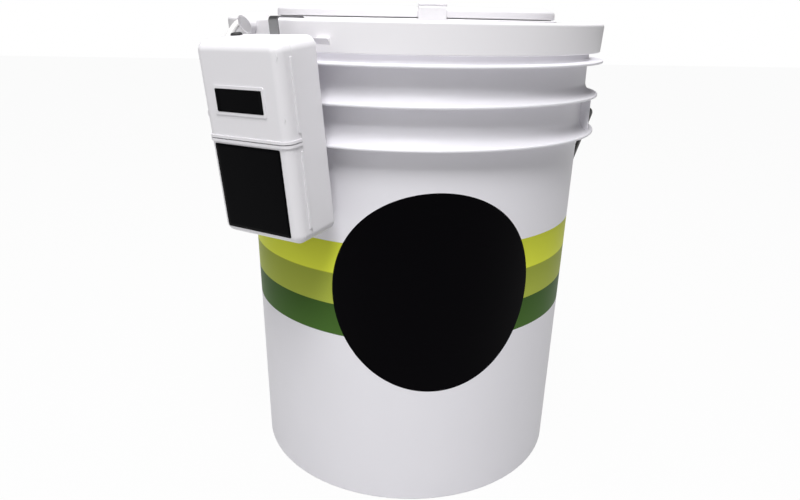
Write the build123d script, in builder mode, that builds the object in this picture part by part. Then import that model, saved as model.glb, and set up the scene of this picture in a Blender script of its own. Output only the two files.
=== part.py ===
from build123d import *
import os
from math import asin, atan, cos, degrees, pi, radians, sin, sqrt, tan

# Aerated bait bucket: an insulated snap-lid pail with a wire bail, a round access
# hatch in its lid, and a battery air pump that hangs on the lid by a steel clip.
# Millimetres. The origin is the centre of the foot ring on the floor, +Z is up,
# -Y is the side of the hatch's thumb tab, and the bail turns about X.
# Azimuths are degrees from -Y towards +X.

os.makedirs("parts", exist_ok=True)

# ---------------------------------------------------------------- driving sizes
# General gaps
FIT = 0.1  # radial running clearance of pins and shafts
GAP = 0.3  # gap between pieces that lie beside each other

# Pail
BASE_RADIUS = 131.0
BODY_FLARE = 5.8  # the body grows by this much up to the lowest rib
COLLAR_STEP = 1.4  # the wall steps out at each of the three ribs
NECK_STEP = 1.2
MOUTH_STEP = 0.6
PAIL_WALL = 2.4
FLOOR_THICKNESS = 3.0
FOOT_HEIGHT = 4.0
FOOT_WIDTH = 3.8
BODY_HEIGHT = 286.4  # from the floor to the lowest rib
COLLAR_HEIGHT = 27.9  # from the lowest rib to the middle one
NECK_HEIGHT = 25.3  # from the middle rib to the top one
MOUTH_HEIGHT = 22.4  # from the top rib to the pail's rim
RIB_THICKNESS = 2.0
LOW_RIB_PROUD = 10.5
MID_RIB_PROUD = 10.0
TOP_RIB_PROUD = 11.1
COVE_RADIUS = 8.5  # hollow above each of the two lower ribs
TOP_COVE_RADIUS = 2.5
BEAD_HEIGHT = 3.6
BEAD_PROUD = 3.4

# Bail ears and bail
EAR_HALF_WIDTH = 15.0
EAR_PROUD = 9.4
GUSSET_ANGLE = 23.5
GUSSET_THICKNESS = 2.5
GUSSET_PROUD = 7.1
PIVOT_RISE = 11.6  # above the lowest rib's underside
SOCKET_DEPTH = 7.0
WIRE_DIAMETER = 4.0
WIRE_BEND = 5.5
LEG_GAP = 8.4  # from an ear's face to the middle of the bail's leg
BAIL_REACH = 232.0  # from the pivots to the middle of the grip
GRIP_LENGTH = 96.0
GRIP_ROOM = 4.0  # straight wire beyond each end of the grip
GRIP_DIAMETER = 18.0
GRIP_WAIST = 15.0
GRIP_RINGS = 5

# Foam liner
LINER_THICKNESS = 9.0

# Lid
LID_WALL = 2.3
LID_EDGE = 2.2
GASKET_THICKNESS = 3.4
SKIRT_HEIGHT = 20.7
SKIRT_FLARE = 1.3
SNAP_PROUD = 1.7
SNAP_GAP = 0.6  # between the lid's snap and the pail's bead, so that it lifts off
PLUG_GAP = 0.7  # between the lid's inner channel wall and the pail's mouth
PANEL_SINK = 12.8  # depth of the sunk panel round the hatch
LEDGE_RISE = 1.2
LEDGE_PROUD = 2.0
COLLAR_INSET = 7.5  # from the hatch's rim to the collar's opening
WEB_COUNT = 12
WEB_THICKNESS = 1.8
WEB_HEIGHT = 7.0
LUG_AZIMUTH = -28.6
LUG_WIDTH = 10.0
LUG_PROUD = 3.0
LUG_SINK = 11.6

# Hatch
TROUGH_WIDTH = 23.6  # from the hatch's rim to the lid's own rim
HATCH_RISE = 6.8  # top of the hatch above the ledge
HATCH_WALL = 2.5
HATCH_EDGE = 2.2
HATCH_LIFT = 0.8  # open slit between the hatch's skirt and the ledge
PLUG_DEPTH = 8.0
PLUG_FIT = 0.5
TAB_WIDTH = 18.6
TAB_RISE = 3.0
TAB_LAP = 3.2  # the tab reaches this far below the ledge
TAB_THICKNESS = 3.0
TAB_GROOVE = 0.7
HINGE_PIN_RADIUS = 1.5
KNUCKLE_RADIUS = 3.6
HINGE_REACH = 5.8  # hinge axis behind the hatch's rim
HINGE_RISE = 2.8
KNUCKLE_WIDTH = 9.0
HINGE_HALF_WIDTH = 27.0
ARM_THICKNESS = 4.6

# Air pump: its own frame has X to its right, Y up and Z out of its front
PUMP_AZIMUTH = -37.3
PUMP_CLEAR = 9.7  # from the lid's edge to the pump's back at its top
PUMP_SHIFT = -8.6
PUMP_SINK = 9.9  # top of the pump below the lid's top
PUMP_LEAN = 6.3
PUMP_ROLL = 1.2
PUMP_WALL = 1.6
PUMP_CORNER = 7.0
PUMP_EDGE = 6.5
PUMP_BACK_EDGE = 1.8
SEAM_Z = 24.0
SEAL_THICKNESS = 0.4
PARTING_GAP = 0.7
LIP_WIDTH = 1.8
LIP_PROUD = 0.85
SEAM_RIB_WIDTH = 2.0
RIB_STOP = 6.0  # the seam's ribs stop this far from the parting and from the corners
FRAME_WIDTH = 44.0
FRAME_HEIGHT = 18.5
FRAME_BAND = 2.0
FRAME_PROUD = 0.6
FRAME_X = -1.3
FRAME_RISE = 25.4  # middle of the frame above the parting

# Cells and contacts
CELL_DIAMETER = 32.3
CELL_HEIGHT = 58.8
NUB_DIAMETER = 9.5
NUB_HEIGHT = 1.7
DIVIDER = 1.2
CELL_SIDE_GAP = 0.7
CELL_FRONT_GAP = 0.4
CONTACT_ROOM = 2.3  # for the contacts at each end of the cells
CONTACT_THICKNESS = 0.6

# Pump works
MOTOR_DIAMETER = 20.4
MOTOR_LENGTH = 25.0
MOTOR_INSET = 9.9  # from the inside of the left wall to the motor's back
SHAFT_DIAMETER = 2.0
SLEEVE_THICKNESS = 1.2
SLEEVE_LENGTH = 7.0
SLEEVE_INSET = 3.0
WHEEL_DIAMETER = 12.0
WHEEL_THICKNESS = 3.5
WHEEL_GAP = 0.5
CRANK_THROW = 1.0
CRANK_DIAMETER = 2.4
LEVER_THICKNESS = 3.0
LEVER_WIDTH = 12.0
LEVER_SWING = 5.0
LEVER_ARM = 16.5  # from the lever's pivot to the crank
LEVER_PIN_DIAMETER = 2.4
PIVOT_ROOM = 7.0  # from the lever's pivot down to the parting
PRESS_ARM = 18.0  # from the crank to the diaphragm
CRANK_GAP = 3.3  # from the crank wheel to the lever
VALVE_ROOM = 5.9  # from the case's top wall to the valve block
EAR_THICKNESS = 2.6
DIAPHRAGM_DIAMETER = 21.0
DIAPHRAGM_HEIGHT = 3.6
DIAPHRAGM_BASE = 1.2
VALVE_BLOCK_SIZE = 25.0
VALVE_BLOCK_DEPTH = 4.4
FLAP_THICKNESS = 0.6
DUCT_DIAMETER = 4.0

# Switch, screws and clip
BUTTON_DIAMETER = 7.6
BUTTON_PROUD = 1.6
BUTTON_TRAVEL = 1.2
BUTTON_INSET = 10.1
BUTTON_Z = 7.4
SWITCH_DEPTH = 8.0
SWITCH_WIDTH = 9.2
SCREW_DIAMETER = 2.6
SCREW_HEAD_DIAMETER = 4.6
SCREW_HEAD_HEIGHT = 1.8
SCREW_LENGTH = 30.0
BOSS_RADIUS = 3.4
SCREW_INSET = 5.2
LOW_SCREW_RISE = 15.5  # above the parting
HIGH_SCREW_SINK = 9.0
TOP_SCREW_SINK = 5.6
TOP_SCREW_X = -10.0
CLIP_WIDTH = 7.6
CLIP_THICKNESS = 1.0
CLIP_X = 1.0
CLIP_BEND = 2.4
CLIP_TUCK = 11.0
CLIP_FOOT = 5.0  # clip beyond the lower rivet
RIVET_PITCH = 13.0
RIVET_RISE = 8.5  # lower rivet above the parting
RIVET_RADIUS = 1.2
RIVET_HEAD_RADIUS = 2.2
RIVET_HEAD_HEIGHT = 0.8

# Hose port, airline and air stone
HOSE_DIAMETER = 4.8
PORT_ARC = 43.516  # along the lid's edge from the pump's middle to the port
PORT_SLOPE = 31.0
PORT_REACH = 6.2  # from the lid's edge to the middle of the port's face
PORT_SINK = 3.9
PORT_DIAMETER = 15.0
PORT_RIM = 1.5
PORT_DISH_DEPTH = 0.8
BORE_GAP = 0.4
HOSE_SHIFT = 11.0  # the hose crosses the rim this far beside the port's boss
HOSE_OVER_RIM = 5.3  # middle of the hose above the pail's rim
HOSE_TURN = 5.1  # where the hose turns level, inside the port's face
HOSE_DIP = 4.9  # where the hose turns up, outside the port's face
HOSE_DIP_DROP = 5.6
ELBOW_STAND = 14.5  # where the hose meets the elbow, outside the port's face
ELBOW_SINK = 19.3
ELBOW_TURN = 2.4  # degrees from the hose's way over the rim back to the elbow
SADDLE_REACH = 2.5  # the port's saddle stands out of the lid's edge, beside the boss
PORT_SADDLE = 1.2  # thickness of the port's saddle inside the lid's rim
SADDLE_FLOOR = 0.8
DROP_GAP = 2.84  # from the liner's mouth to the hose's grommet
ELBOW_DIAMETER = 5.6
ELBOW_DROP = 6.5
GROMMET_RADIUS = 5.4
GROMMET_LIP = 1.2
GROMMET_GAP = 0.8  # the hose still bends a little where it passes the grommet
STONE_DIAMETER = 15.0
STONE_LENGTH = 34.0
STONE_CAP_LENGTH = 5.0
STONE_SPIGOT_LENGTH = 6.0
STONE_CHAMFER = 1.5
SPIGOT_RADIUS = 2.8

# ------------------------------------------------------------- worked-out sizes
# Pail, outside radii from the floor up
SHOULDER_RADIUS = BASE_RADIUS + BODY_FLARE
COLLAR_RADIUS = SHOULDER_RADIUS + COLLAR_STEP
NECK_RADIUS = COLLAR_RADIUS + NECK_STEP
MOUTH_RADIUS = NECK_RADIUS + MOUTH_STEP
MOUTH_INNER = MOUTH_RADIUS - PAIL_WALL
LOW_RIB_Z = BODY_HEIGHT
MID_RIB_Z = LOW_RIB_Z + COLLAR_HEIGHT
TOP_RIB_Z = MID_RIB_Z + NECK_HEIGHT
RIM_Z = TOP_RIB_Z + MOUTH_HEIGHT
FLOOR_Z = FOOT_HEIGHT + FLOOR_THICKNESS
WALL_TAPER = BODY_FLARE / BODY_HEIGHT

# Bail
EAR_RADIUS = COLLAR_RADIUS + EAR_PROUD
PIVOT_Z = LOW_RIB_Z + PIVOT_RISE
BAIL_HALF_WIDTH = EAR_RADIUS + LEG_GAP
BAIL_CORNER = BAIL_HALF_WIDTH - GRIP_LENGTH / 2 - GRIP_ROOM
WIRE_RADIUS = WIRE_DIAMETER / 2

# Lid and hatch
SKIRT_RADIUS = MOUTH_RADIUS + BEAD_PROUD + SNAP_GAP + SNAP_PROUD + LID_WALL
LID_RADIUS = SKIRT_RADIUS + SKIRT_FLARE
ROOF_UNDER = RIM_Z + GAP + GASKET_THICKNESS
LID_Z = ROOF_UNDER + LID_WALL
SKIRT_Z = LID_Z - SKIRT_HEIGHT
CHANNEL_RADIUS = MOUTH_INNER - PLUG_GAP  # outer face of the lid's inner channel wall
RIM_INNER = CHANNEL_RADIUS - LID_WALL  # face of the lid's rim towards the hatch
PANEL_Z = LID_Z - PANEL_SINK  # top of the sunk panel round the hatch
PANEL_UNDER = PANEL_Z - LID_WALL
HATCH_RADIUS = RIM_INNER - TROUGH_WIDTH
COLLAR_INNER = HATCH_RADIUS - COLLAR_INSET
LEDGE_RADIUS = HATCH_RADIUS + LEDGE_PROUD
LEDGE_Z = LID_Z + LEDGE_RISE
LUG_Z = LID_Z - LUG_SINK
HATCH_Z = LEDGE_Z + HATCH_RISE
HATCH_UNDER = HATCH_Z - HATCH_WALL
HATCH_SKIRT_Z = LEDGE_Z + HATCH_LIFT
TAB_Z = HATCH_Z + TAB_RISE
TAB_DROP = LEDGE_Z - TAB_LAP
HINGE_Y = HATCH_RADIUS + HINGE_REACH
HINGE_Z = LEDGE_Z + HINGE_RISE

# Pump: its housing is as wide, deep and tall as the cells and the works need
PUMP_STAND_OFF = LID_RADIUS + PUMP_CLEAR
PUMP_TOP_Z = LID_Z - PUMP_SINK
INNER_WIDTH = 2 * (CELL_DIAMETER + GAP + CELL_SIDE_GAP) + DIVIDER
PUMP_WIDTH = INNER_WIDTH + 2 * PUMP_WALL
PUMP_DEPTH = CELL_DIAMETER + GAP + CELL_FRONT_GAP + 2 * PUMP_WALL
INNER_CORNER = PUMP_CORNER - PUMP_WALL
DIAPHRAGM_Y = -(PUMP_WALL + VALVE_ROOM + VALVE_BLOCK_SIZE / 2)
MOTOR_Y = DIAPHRAGM_Y - PRESS_ARM
LEVER_PIVOT_Y = MOTOR_Y - LEVER_ARM
PARTING_Y = LEVER_PIVOT_Y - PIVOT_ROOM
CELL_STACK = CELL_HEIGHT + NUB_HEIGHT
PUMP_HEIGHT = PUMP_WALL / 2 - PARTING_Y + CELL_STACK + 2 * CONTACT_ROOM + PUMP_WALL
MOTOR_X = MOTOR_INSET - INNER_WIDTH / 2
FRAME_Y = PARTING_Y + FRAME_RISE
BUTTON_X = BUTTON_INSET - PUMP_WIDTH / 2
screw_x = PUMP_WIDTH / 2 - SCREW_INSET
SCREW_SPOTS = [
    (-screw_x, PARTING_Y + LOW_SCREW_RISE),
    (screw_x, PARTING_Y + LOW_SCREW_RISE),
    (screw_x, -HIGH_SCREW_SINK),
    (TOP_SCREW_X, -TOP_SCREW_SINK),
]
RIVET_YS = [PARTING_Y + RIVET_RISE + RIVET_PITCH, PARTING_Y + RIVET_RISE]
CLIP_FOOT_Y = RIVET_YS[1] - CLIP_FOOT

# Hose port and hose
PORT_AZIMUTH = PUMP_AZIMUTH - degrees(PORT_ARC / LID_RADIUS)
HOSE_AZIMUTH = PORT_AZIMUTH - degrees(HOSE_SHIFT / LID_RADIUS)
PORT_FACE_RADIUS = LID_RADIUS + PORT_REACH
PORT_FACE_Z = LID_Z - PORT_SINK
PORT_DISH = PORT_DIAMETER - 2 * PORT_RIM
HOSE_RADIUS = HOSE_DIAMETER / 2
HOSE_LEVEL_Z = RIM_Z + HOSE_OVER_RIM


def wall_radius(z):
    """Outer radius of the pail's tapered body at a height."""
    return BASE_RADIUS + WALL_TAPER * z


def inner_radius(z):
    """Inner radius of the pail's tapered body at a height."""
    return wall_radius(z) - PAIL_WALL


def spot(radius, azimuth, z):
    """A point at a radius and an azimuth round the pail's axis."""
    return Vector(radius * sin(radians(azimuth)), -radius * cos(radians(azimuth)), z)


def upright_plane(azimuth):
    """The upright plane through the pail's axis: X runs outwards and Y runs up."""
    outward = spot(1, azimuth, 0)
    return Plane(origin=(0, 0, 0), x_dir=outward, z_dir=outward.cross(Vector(0, 0, 1)))


def facing_plane(radius, azimuth, z=0):
    """The upright plane that faces outwards at a radius: X is level and Y runs up."""
    outward = spot(1, azimuth, 0)
    return Plane(origin=spot(radius, azimuth, z), x_dir=Vector(0, 0, 1).cross(outward), z_dir=outward)


# ------------------------------------------------------------------------ pail
RIBS = [
    (LOW_RIB_Z, LOW_RIB_PROUD, COLLAR_RADIUS, COVE_RADIUS),
    (MID_RIB_Z, MID_RIB_PROUD, NECK_RADIUS, COVE_RADIUS),
    (TOP_RIB_Z, TOP_RIB_PROUD, MOUTH_RADIUS, TOP_COVE_RADIUS),
]

with BuildPart() as bucket_shell:
    with BuildSketch(Plane.XZ) as pail_profile:
        with BuildLine():
            Polyline(
                (0, FOOT_HEIGHT),
                (BASE_RADIUS - FOOT_WIDTH, FOOT_HEIGHT),
                (BASE_RADIUS - FOOT_WIDTH, 0),
                (BASE_RADIUS, 0),
                (SHOULDER_RADIUS, LOW_RIB_Z),
                (COLLAR_RADIUS, LOW_RIB_Z + RIB_THICKNESS),
                (COLLAR_RADIUS, MID_RIB_Z),
                (NECK_RADIUS, MID_RIB_Z + RIB_THICKNESS),
                (NECK_RADIUS, TOP_RIB_Z),
                (MOUTH_RADIUS, TOP_RIB_Z + RIB_THICKNESS),
                (MOUTH_RADIUS, RIM_Z - BEAD_HEIGHT - BEAD_PROUD),
                (MOUTH_RADIUS + BEAD_PROUD, RIM_Z - BEAD_HEIGHT),
                (MOUTH_RADIUS + BEAD_PROUD, RIM_Z),
                (MOUTH_INNER, RIM_Z),
                (MOUTH_INNER, TOP_RIB_Z),
                (NECK_RADIUS - PAIL_WALL, MID_RIB_Z + RIB_THICKNESS),
                (COLLAR_RADIUS - PAIL_WALL, LOW_RIB_Z + RIB_THICKNESS),
                (inner_radius(LOW_RIB_Z), LOW_RIB_Z),
                (inner_radius(FLOOR_Z), FLOOR_Z),
                (0, FLOOR_Z),
                close=True,
            )
        make_face()
        for rib_z, rib_proud, above, cove in RIBS:
            with Locations((above - PAIL_WALL / 2, rib_z)):
                Rectangle(rib_proud + PAIL_WALL / 2, RIB_THICKNESS, align=(Align.MIN, Align.MIN))
        for rib_z, rib_proud, above, cove in RIBS:
            root = (above, rib_z + RIB_THICKNESS)
            fillet(pail_profile.vertices().sort_by_distance(root)[0], cove)
    revolve(axis=Axis.Z)
    # Bail ears: a lug with a blind socket, and a web on either side of it
    ear_low = LOW_RIB_Z + RIB_THICKNESS / 2
    ear_high = MID_RIB_Z + RIB_THICKNESS / 2
    for side in (90, -90):
        with BuildSketch(facing_plane(COLLAR_RADIUS - PAIL_WALL / 2, side)):
            with Locations((0, (ear_low + ear_high) / 2)):
                Rectangle(2 * EAR_HALF_WIDTH, ear_high - ear_low)
        extrude(amount=EAR_PROUD + PAIL_WALL / 2)
        for turn in (-GUSSET_ANGLE, GUSSET_ANGLE):
            with BuildSketch(facing_plane(COLLAR_RADIUS - PAIL_WALL / 2, side + turn)):
                with Locations((0, (ear_low + ear_high) / 2)):
                    Rectangle(GUSSET_THICKNESS, ear_high - ear_low)
            extrude(amount=GUSSET_PROUD + PAIL_WALL / 2)
        with BuildSketch(facing_plane(EAR_RADIUS, side, PIVOT_Z)):
            Circle(WIRE_RADIUS + FIT)
        extrude(amount=-SOCKET_DEPTH, mode=Mode.SUBTRACT)
bucket_shell.part.label = "bucket_shell"
export_step(bucket_shell.part, "parts/bucket_shell.step")

# ----------------------------------------------------------------- foam liner
liner_low = FLOOR_Z + GAP
liner_high = PANEL_UNDER - GAP
liner_floor = liner_low + LINER_THICKNESS
liner_mouth = inner_radius(liner_high) - GAP - LINER_THICKNESS

with BuildPart() as foam_liner:
    with BuildSketch(Plane.XZ):
        with BuildLine():
            Polyline(
                (0, liner_low),
                (inner_radius(liner_low) - GAP, liner_low),
                (inner_radius(liner_high) - GAP, liner_high),
                (liner_mouth, liner_high),
                (inner_radius(liner_floor) - GAP - LINER_THICKNESS, liner_floor),
                (0, liner_floor),
                close=True,
            )
        make_face()
    revolve(axis=Axis.Z)
foam_liner.part.label = "foam_liner"
export_step(foam_liner.part, "parts/foam_liner.step")

# ---------------------------------------------------------------- bail and grip
# The bail hangs back until its grip meets the pail's tapered wall
rest_distance = wall_radius(PIVOT_Z) * cos(atan(WALL_TAPER)) + GRIP_DIAMETER / 2 + GAP
bail_hang = asin(rest_distance / BAIL_REACH) - atan(WALL_TAPER)
hang_out = Vector(0, sin(bail_hang), -cos(bail_hang))
bail_plane = Plane(origin=(0, 0, PIVOT_Z), x_dir=(1, 0, 0), z_dir=Vector(1, 0, 0).cross(hang_out))
socket_end = EAR_RADIUS - SOCKET_DEPTH + GAP

with BuildPart() as bail_wire:
    with BuildLine(bail_plane) as bail_line:
        FilletPolyline(
            (-socket_end, 0),
            (-BAIL_HALF_WIDTH, 0),
            (-BAIL_HALF_WIDTH, BAIL_REACH),
            (BAIL_HALF_WIDTH, BAIL_REACH),
            (BAIL_HALF_WIDTH, 0),
            (socket_end, 0),
            radius=[WIRE_BEND, BAIL_CORNER, BAIL_CORNER, WIRE_BEND],
        )
    with BuildSketch(Plane(origin=bail_line.line @ 0, z_dir=bail_line.line % 0)):
        Circle(WIRE_RADIUS)
    sweep()
bail_wire.part.label = "bail_wire"
export_step(bail_wire.part, "parts/bail_wire.step")

grip_centre = bail_plane.from_local_coords(Vector(0, BAIL_REACH, 0))
grip_pitch = GRIP_LENGTH / GRIP_RINGS

with BuildPart() as bail_grip:
    with BuildSketch(Plane(origin=grip_centre, x_dir=(1, 0, 0), z_dir=hang_out.cross(Vector(1, 0, 0)))):
        with BuildLine():
            low = WIRE_RADIUS + FIT
            ring_edges = [(i - GRIP_RINGS / 2) * grip_pitch for i in range(GRIP_RINGS + 1)]
            crests = [(x, GRIP_DIAMETER / 2) for x in ring_edges]
            Line((-GRIP_LENGTH / 2, low), crests[0])
            for start, end in zip(crests, crests[1:]):
                middle = ((start[0] + end[0]) / 2, GRIP_WAIST / 2)
                ThreePointArc(start, middle, end)
            Line(crests[-1], (GRIP_LENGTH / 2, low))
            Line((GRIP_LENGTH / 2, low), (-GRIP_LENGTH / 2, low))
        make_face()
    revolve(axis=Axis(grip_centre, (1, 0, 0)))
bail_grip.part.label = "bail_grip"
export_step(bail_grip.part, "parts/bail_grip.step")

# ------------------------------------------------------------- airline's route
# From the pump's outlet elbow up beside the port's boss, over the pail's rim, down the
# well and round its floor to the air stone. The points are the corners of its runs.
hose_drop_radius = liner_mouth - GROMMET_RADIUS - DROP_GAP
ROUTE = [
    spot(PORT_FACE_RADIUS + ELBOW_STAND, HOSE_AZIMUTH + ELBOW_TURN, PORT_FACE_Z - ELBOW_SINK),
    spot(PORT_FACE_RADIUS + HOSE_DIP, HOSE_AZIMUTH, PORT_FACE_Z - HOSE_DIP_DROP),
    spot(PORT_FACE_RADIUS - HOSE_TURN, HOSE_AZIMUTH, HOSE_LEVEL_Z),
    spot(hose_drop_radius, HOSE_AZIMUTH, HOSE_LEVEL_Z),
    Vector(-100.4, -62.5, 335.0),
    Vector(-97.5, -66.5, 284.0),
    Vector(-95.0, -66.5, 226.0),
    Vector(-92.5, -69.0, 168.0),
    Vector(-94.0, -66.0, 110.0),
    Vector(-92.0, -68.0, 62.0),
    Vector(-90.0, -66.0, 19.0),
    Vector(-63.0, -87.0, 19.0),
    Vector(-28.0, -98.0, 19.0),
    Vector(8.0, -95.0, 19.0),
    Vector(38.0, -76.0, 20.5),
    Vector(52.0, -45.0, 24.1),
    Vector(50.0, -16.0, 24.1),
]


def corner_radius(before, corner, after):
    """Largest bend that two runs allow at the corner between them."""
    turn = radians((corner - before).get_angle(after - corner))
    shorter = min((corner - before).length, (after - corner).length)
    return 0.45 * shorter / tan(turn / 2)


ROUTE_RADII = [corner_radius(*corners) for corners in zip(ROUTE, ROUTE[1:], ROUTE[2:])]

# -------------------------------------------------------------------------- lid
port_plane = facing_plane(0, PORT_AZIMUTH, PORT_FACE_Z)
saddle_low = HOSE_LEVEL_Z - HOSE_RADIUS - BORE_GAP - SADDLE_FLOOR
saddle_inner = RIM_INNER - PORT_SADDLE
hose_drop = spot(hose_drop_radius, HOSE_AZIMUTH, PANEL_Z)


def saddle_face(radius, grow):
    """Arched end of the port's saddle, which bridges the rim of the lid."""
    with BuildSketch(facing_plane(radius, HOSE_AZIMUTH, PORT_FACE_Z)) as face:
        Circle(PORT_DIAMETER / 2 + grow)
        with Locations((0, saddle_low - grow - PORT_FACE_Z)):
            below = (Align.CENTER, Align.MAX)
            Rectangle(2 * PORT_DIAMETER, PORT_DIAMETER, align=below, mode=Mode.SUBTRACT)
    return face.sketch


with BuildPart() as lid:
    with BuildSketch(Plane.XZ) as lid_profile:
        with BuildLine():
            Polyline(
                (SKIRT_RADIUS, SKIRT_Z),
                (LID_RADIUS, LID_Z),
                (RIM_INNER, LID_Z),
                (RIM_INNER, PANEL_Z),
                (COLLAR_INNER + LID_WALL, PANEL_Z),
                (COLLAR_INNER + LID_WALL, LEDGE_Z - LID_WALL),
                (LEDGE_RADIUS, LEDGE_Z - LID_WALL),
                (LEDGE_RADIUS, LEDGE_Z),
                (COLLAR_INNER, LEDGE_Z),
                (COLLAR_INNER, PANEL_UNDER),
                (CHANNEL_RADIUS, PANEL_UNDER),
                (CHANNEL_RADIUS, ROOF_UNDER),
                (LID_RADIUS - LID_WALL, ROOF_UNDER),
                (SKIRT_RADIUS - LID_WALL, SKIRT_Z + 3 * SNAP_PROUD),
                (SKIRT_RADIUS - LID_WALL - SNAP_PROUD, SKIRT_Z + 2 * SNAP_PROUD),
                (SKIRT_RADIUS - LID_WALL, SKIRT_Z + SNAP_PROUD),
                (SKIRT_RADIUS - LID_WALL, SKIRT_Z),
                close=True,
            )
        make_face()
        top_corners = [(LID_RADIUS, LID_Z), (RIM_INNER, LID_Z)]
        fillet([lid_profile.vertices().sort_by_distance(c)[0] for c in top_corners], LID_EDGE)
        fillet(lid_profile.vertices().sort_by_distance((LEDGE_RADIUS, LEDGE_Z))[0], 0.6)
    revolve(axis=Axis.Z)
    # Webs across the sunk panel, from the hatch's collar to the rim
    for web in range(WEB_COUNT):
        azimuth = (web + 0.5) * 360 / WEB_COUNT
        with BuildSketch(upright_plane(azimuth)):
            with BuildLine():
                web_start = COLLAR_INNER + LID_WALL / 2
                web_end = RIM_INNER + LID_WALL / 2
                web_foot = PANEL_Z - LID_WALL / 2
                Polyline(
                    (web_start, web_foot),
                    (web_end, web_foot),
                    (web_end, PANEL_Z + WEB_HEIGHT),
                    (web_start, PANEL_Z + WEB_HEIGHT / 2),
                    close=True,
                )
            make_face()
        extrude(amount=WEB_THICKNESS / 2, both=True)
    # Moulded lug on the skirt beside the pump
    with BuildSketch(upright_plane(LUG_AZIMUTH)):
        with BuildLine():
            lug_root = LID_RADIUS - LID_WALL / 2
            Polyline(
                (lug_root, LUG_Z),
                (LID_RADIUS + LUG_PROUD, LUG_Z),
                (lug_root, LUG_Z - LUG_PROUD - LID_WALL / 2),
                close=True,
            )
        make_face()
    extrude(amount=LUG_WIDTH / 2, both=True)
    # Two hinge knuckles on posts behind the ledge
    knuckle_x = HINGE_HALF_WIDTH - KNUCKLE_WIDTH
    for side in (-1, 1):
        with BuildSketch(Plane.YZ.offset(side * knuckle_x)):
            with Locations((HINGE_Y, HINGE_Z)):
                Circle(KNUCKLE_RADIUS)
                Rectangle(2 * KNUCKLE_RADIUS, HINGE_Z - PANEL_Z + 1, align=(Align.CENTER, Align.MAX))
        extrude(amount=side * KNUCKLE_WIDTH)
    with BuildSketch(Plane.YZ):
        with Locations((HINGE_Y, HINGE_Z)):
            Circle(HINGE_PIN_RADIUS + FIT / 2)
    extrude(amount=HINGE_HALF_WIDTH + 1, both=True, mode=Mode.SUBTRACT)
    # Notch for the hose port through the rim, and the hose's hole in the panel
    add(saddle_face(saddle_inner - 4, FIT / 2))
    extrude(amount=LID_RADIUS - saddle_inner + 8, dir=spot(1, HOSE_AZIMUTH, 0), mode=Mode.SUBTRACT)
    with BuildSketch(Plane.XY.offset(PANEL_UNDER)):
        with Locations((hose_drop.X, hose_drop.Y)):
            Circle(GROMMET_RADIUS - GROMMET_LIP)
    extrude(amount=LID_WALL, mode=Mode.SUBTRACT)
lid.part.label = "lid"
export_step(lid.part, "parts/lid.step")

with BuildPart() as lid_gasket:
    gasket_low = RIM_Z + GAP
    with BuildSketch(Plane.XZ):
        with Locations((CHANNEL_RADIUS + GAP, gasket_low)):
            gasket_width = MOUTH_RADIUS + BEAD_PROUD - CHANNEL_RADIUS - GAP
            Rectangle(gasket_width, ROOF_UNDER - gasket_low, align=(Align.MIN, Align.MIN))
    revolve(axis=Axis.Z)
    add(saddle_face(saddle_inner - 4, FIT / 2))
    extrude(amount=LID_RADIUS - saddle_inner + 8, dir=spot(1, HOSE_AZIMUTH, 0), mode=Mode.SUBTRACT)
lid_gasket.part.label = "lid_gasket"
export_step(lid_gasket.part, "parts/lid_gasket.step")

# ------------------------------------------------------------------------ hatch
PLUG_RADIUS = COLLAR_INNER - PLUG_FIT

with BuildPart() as hatch:
    with BuildSketch(Plane.XZ) as hatch_profile:
        with BuildLine():
            Polyline(
                (0, HATCH_UNDER),
                (PLUG_RADIUS - LID_WALL, HATCH_UNDER),
                (PLUG_RADIUS - LID_WALL, HATCH_UNDER - PLUG_DEPTH),
                (PLUG_RADIUS, HATCH_UNDER - PLUG_DEPTH),
                (PLUG_RADIUS, HATCH_UNDER),
                (HATCH_RADIUS - HATCH_WALL, HATCH_UNDER),
                (HATCH_RADIUS - HATCH_WALL, HATCH_SKIRT_Z),
                (HATCH_RADIUS, HATCH_SKIRT_Z),
                (HATCH_RADIUS, HATCH_Z),
                (0, HATCH_Z),
                close=True,
            )
        make_face()
        fillet(hatch_profile.vertices().sort_by_distance((HATCH_RADIUS, HATCH_Z))[0], HATCH_EDGE)
    revolve(axis=Axis.Z)
    # Thumb tab over the ledge, with a groove under its lip
    with BuildSketch(Plane.YZ) as tab_profile:
        with BuildLine():
            tab_out = -(LEDGE_RADIUS + 2 * GAP + TAB_THICKNESS)
            tab_in = tab_out + TAB_THICKNESS
            Polyline(
                (tab_in, TAB_DROP),
                (tab_in, HATCH_SKIRT_Z),
                (-(HATCH_RADIUS - HATCH_WALL), HATCH_SKIRT_Z),
                (-(HATCH_RADIUS - HATCH_WALL), HATCH_Z),
                (tab_in, TAB_Z),
                (tab_out, TAB_Z),
                (tab_out, TAB_DROP),
                close=True,
            )
        make_face()
        fillet(tab_profile.vertices().sort_by_distance((tab_out, TAB_Z))[0], 0.8)
        with Locations((tab_out, TAB_Z - 2)):
            Circle(TAB_GROOVE, mode=Mode.SUBTRACT)
    extrude(amount=TAB_WIDTH / 2, both=True)
    # Hinge arm and knuckle between the lid's two
    with BuildSketch(Plane.YZ):
        with Locations((HINGE_Y, HINGE_Z)):
            Circle(KNUCKLE_RADIUS)
        with Locations((HATCH_RADIUS - HATCH_WALL, HATCH_SKIRT_Z + GAP)):
            Rectangle(HINGE_Y - HATCH_RADIUS + HATCH_WALL, ARM_THICKNESS, align=(Align.MIN, Align.MIN))
        with Locations((HINGE_Y, HINGE_Z)):
            Circle(HINGE_PIN_RADIUS + FIT, mode=Mode.SUBTRACT)
    extrude(amount=knuckle_x - GAP, both=True)
hatch.part.label = "hatch"
export_step(hatch.part, "parts/hatch.step")

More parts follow.
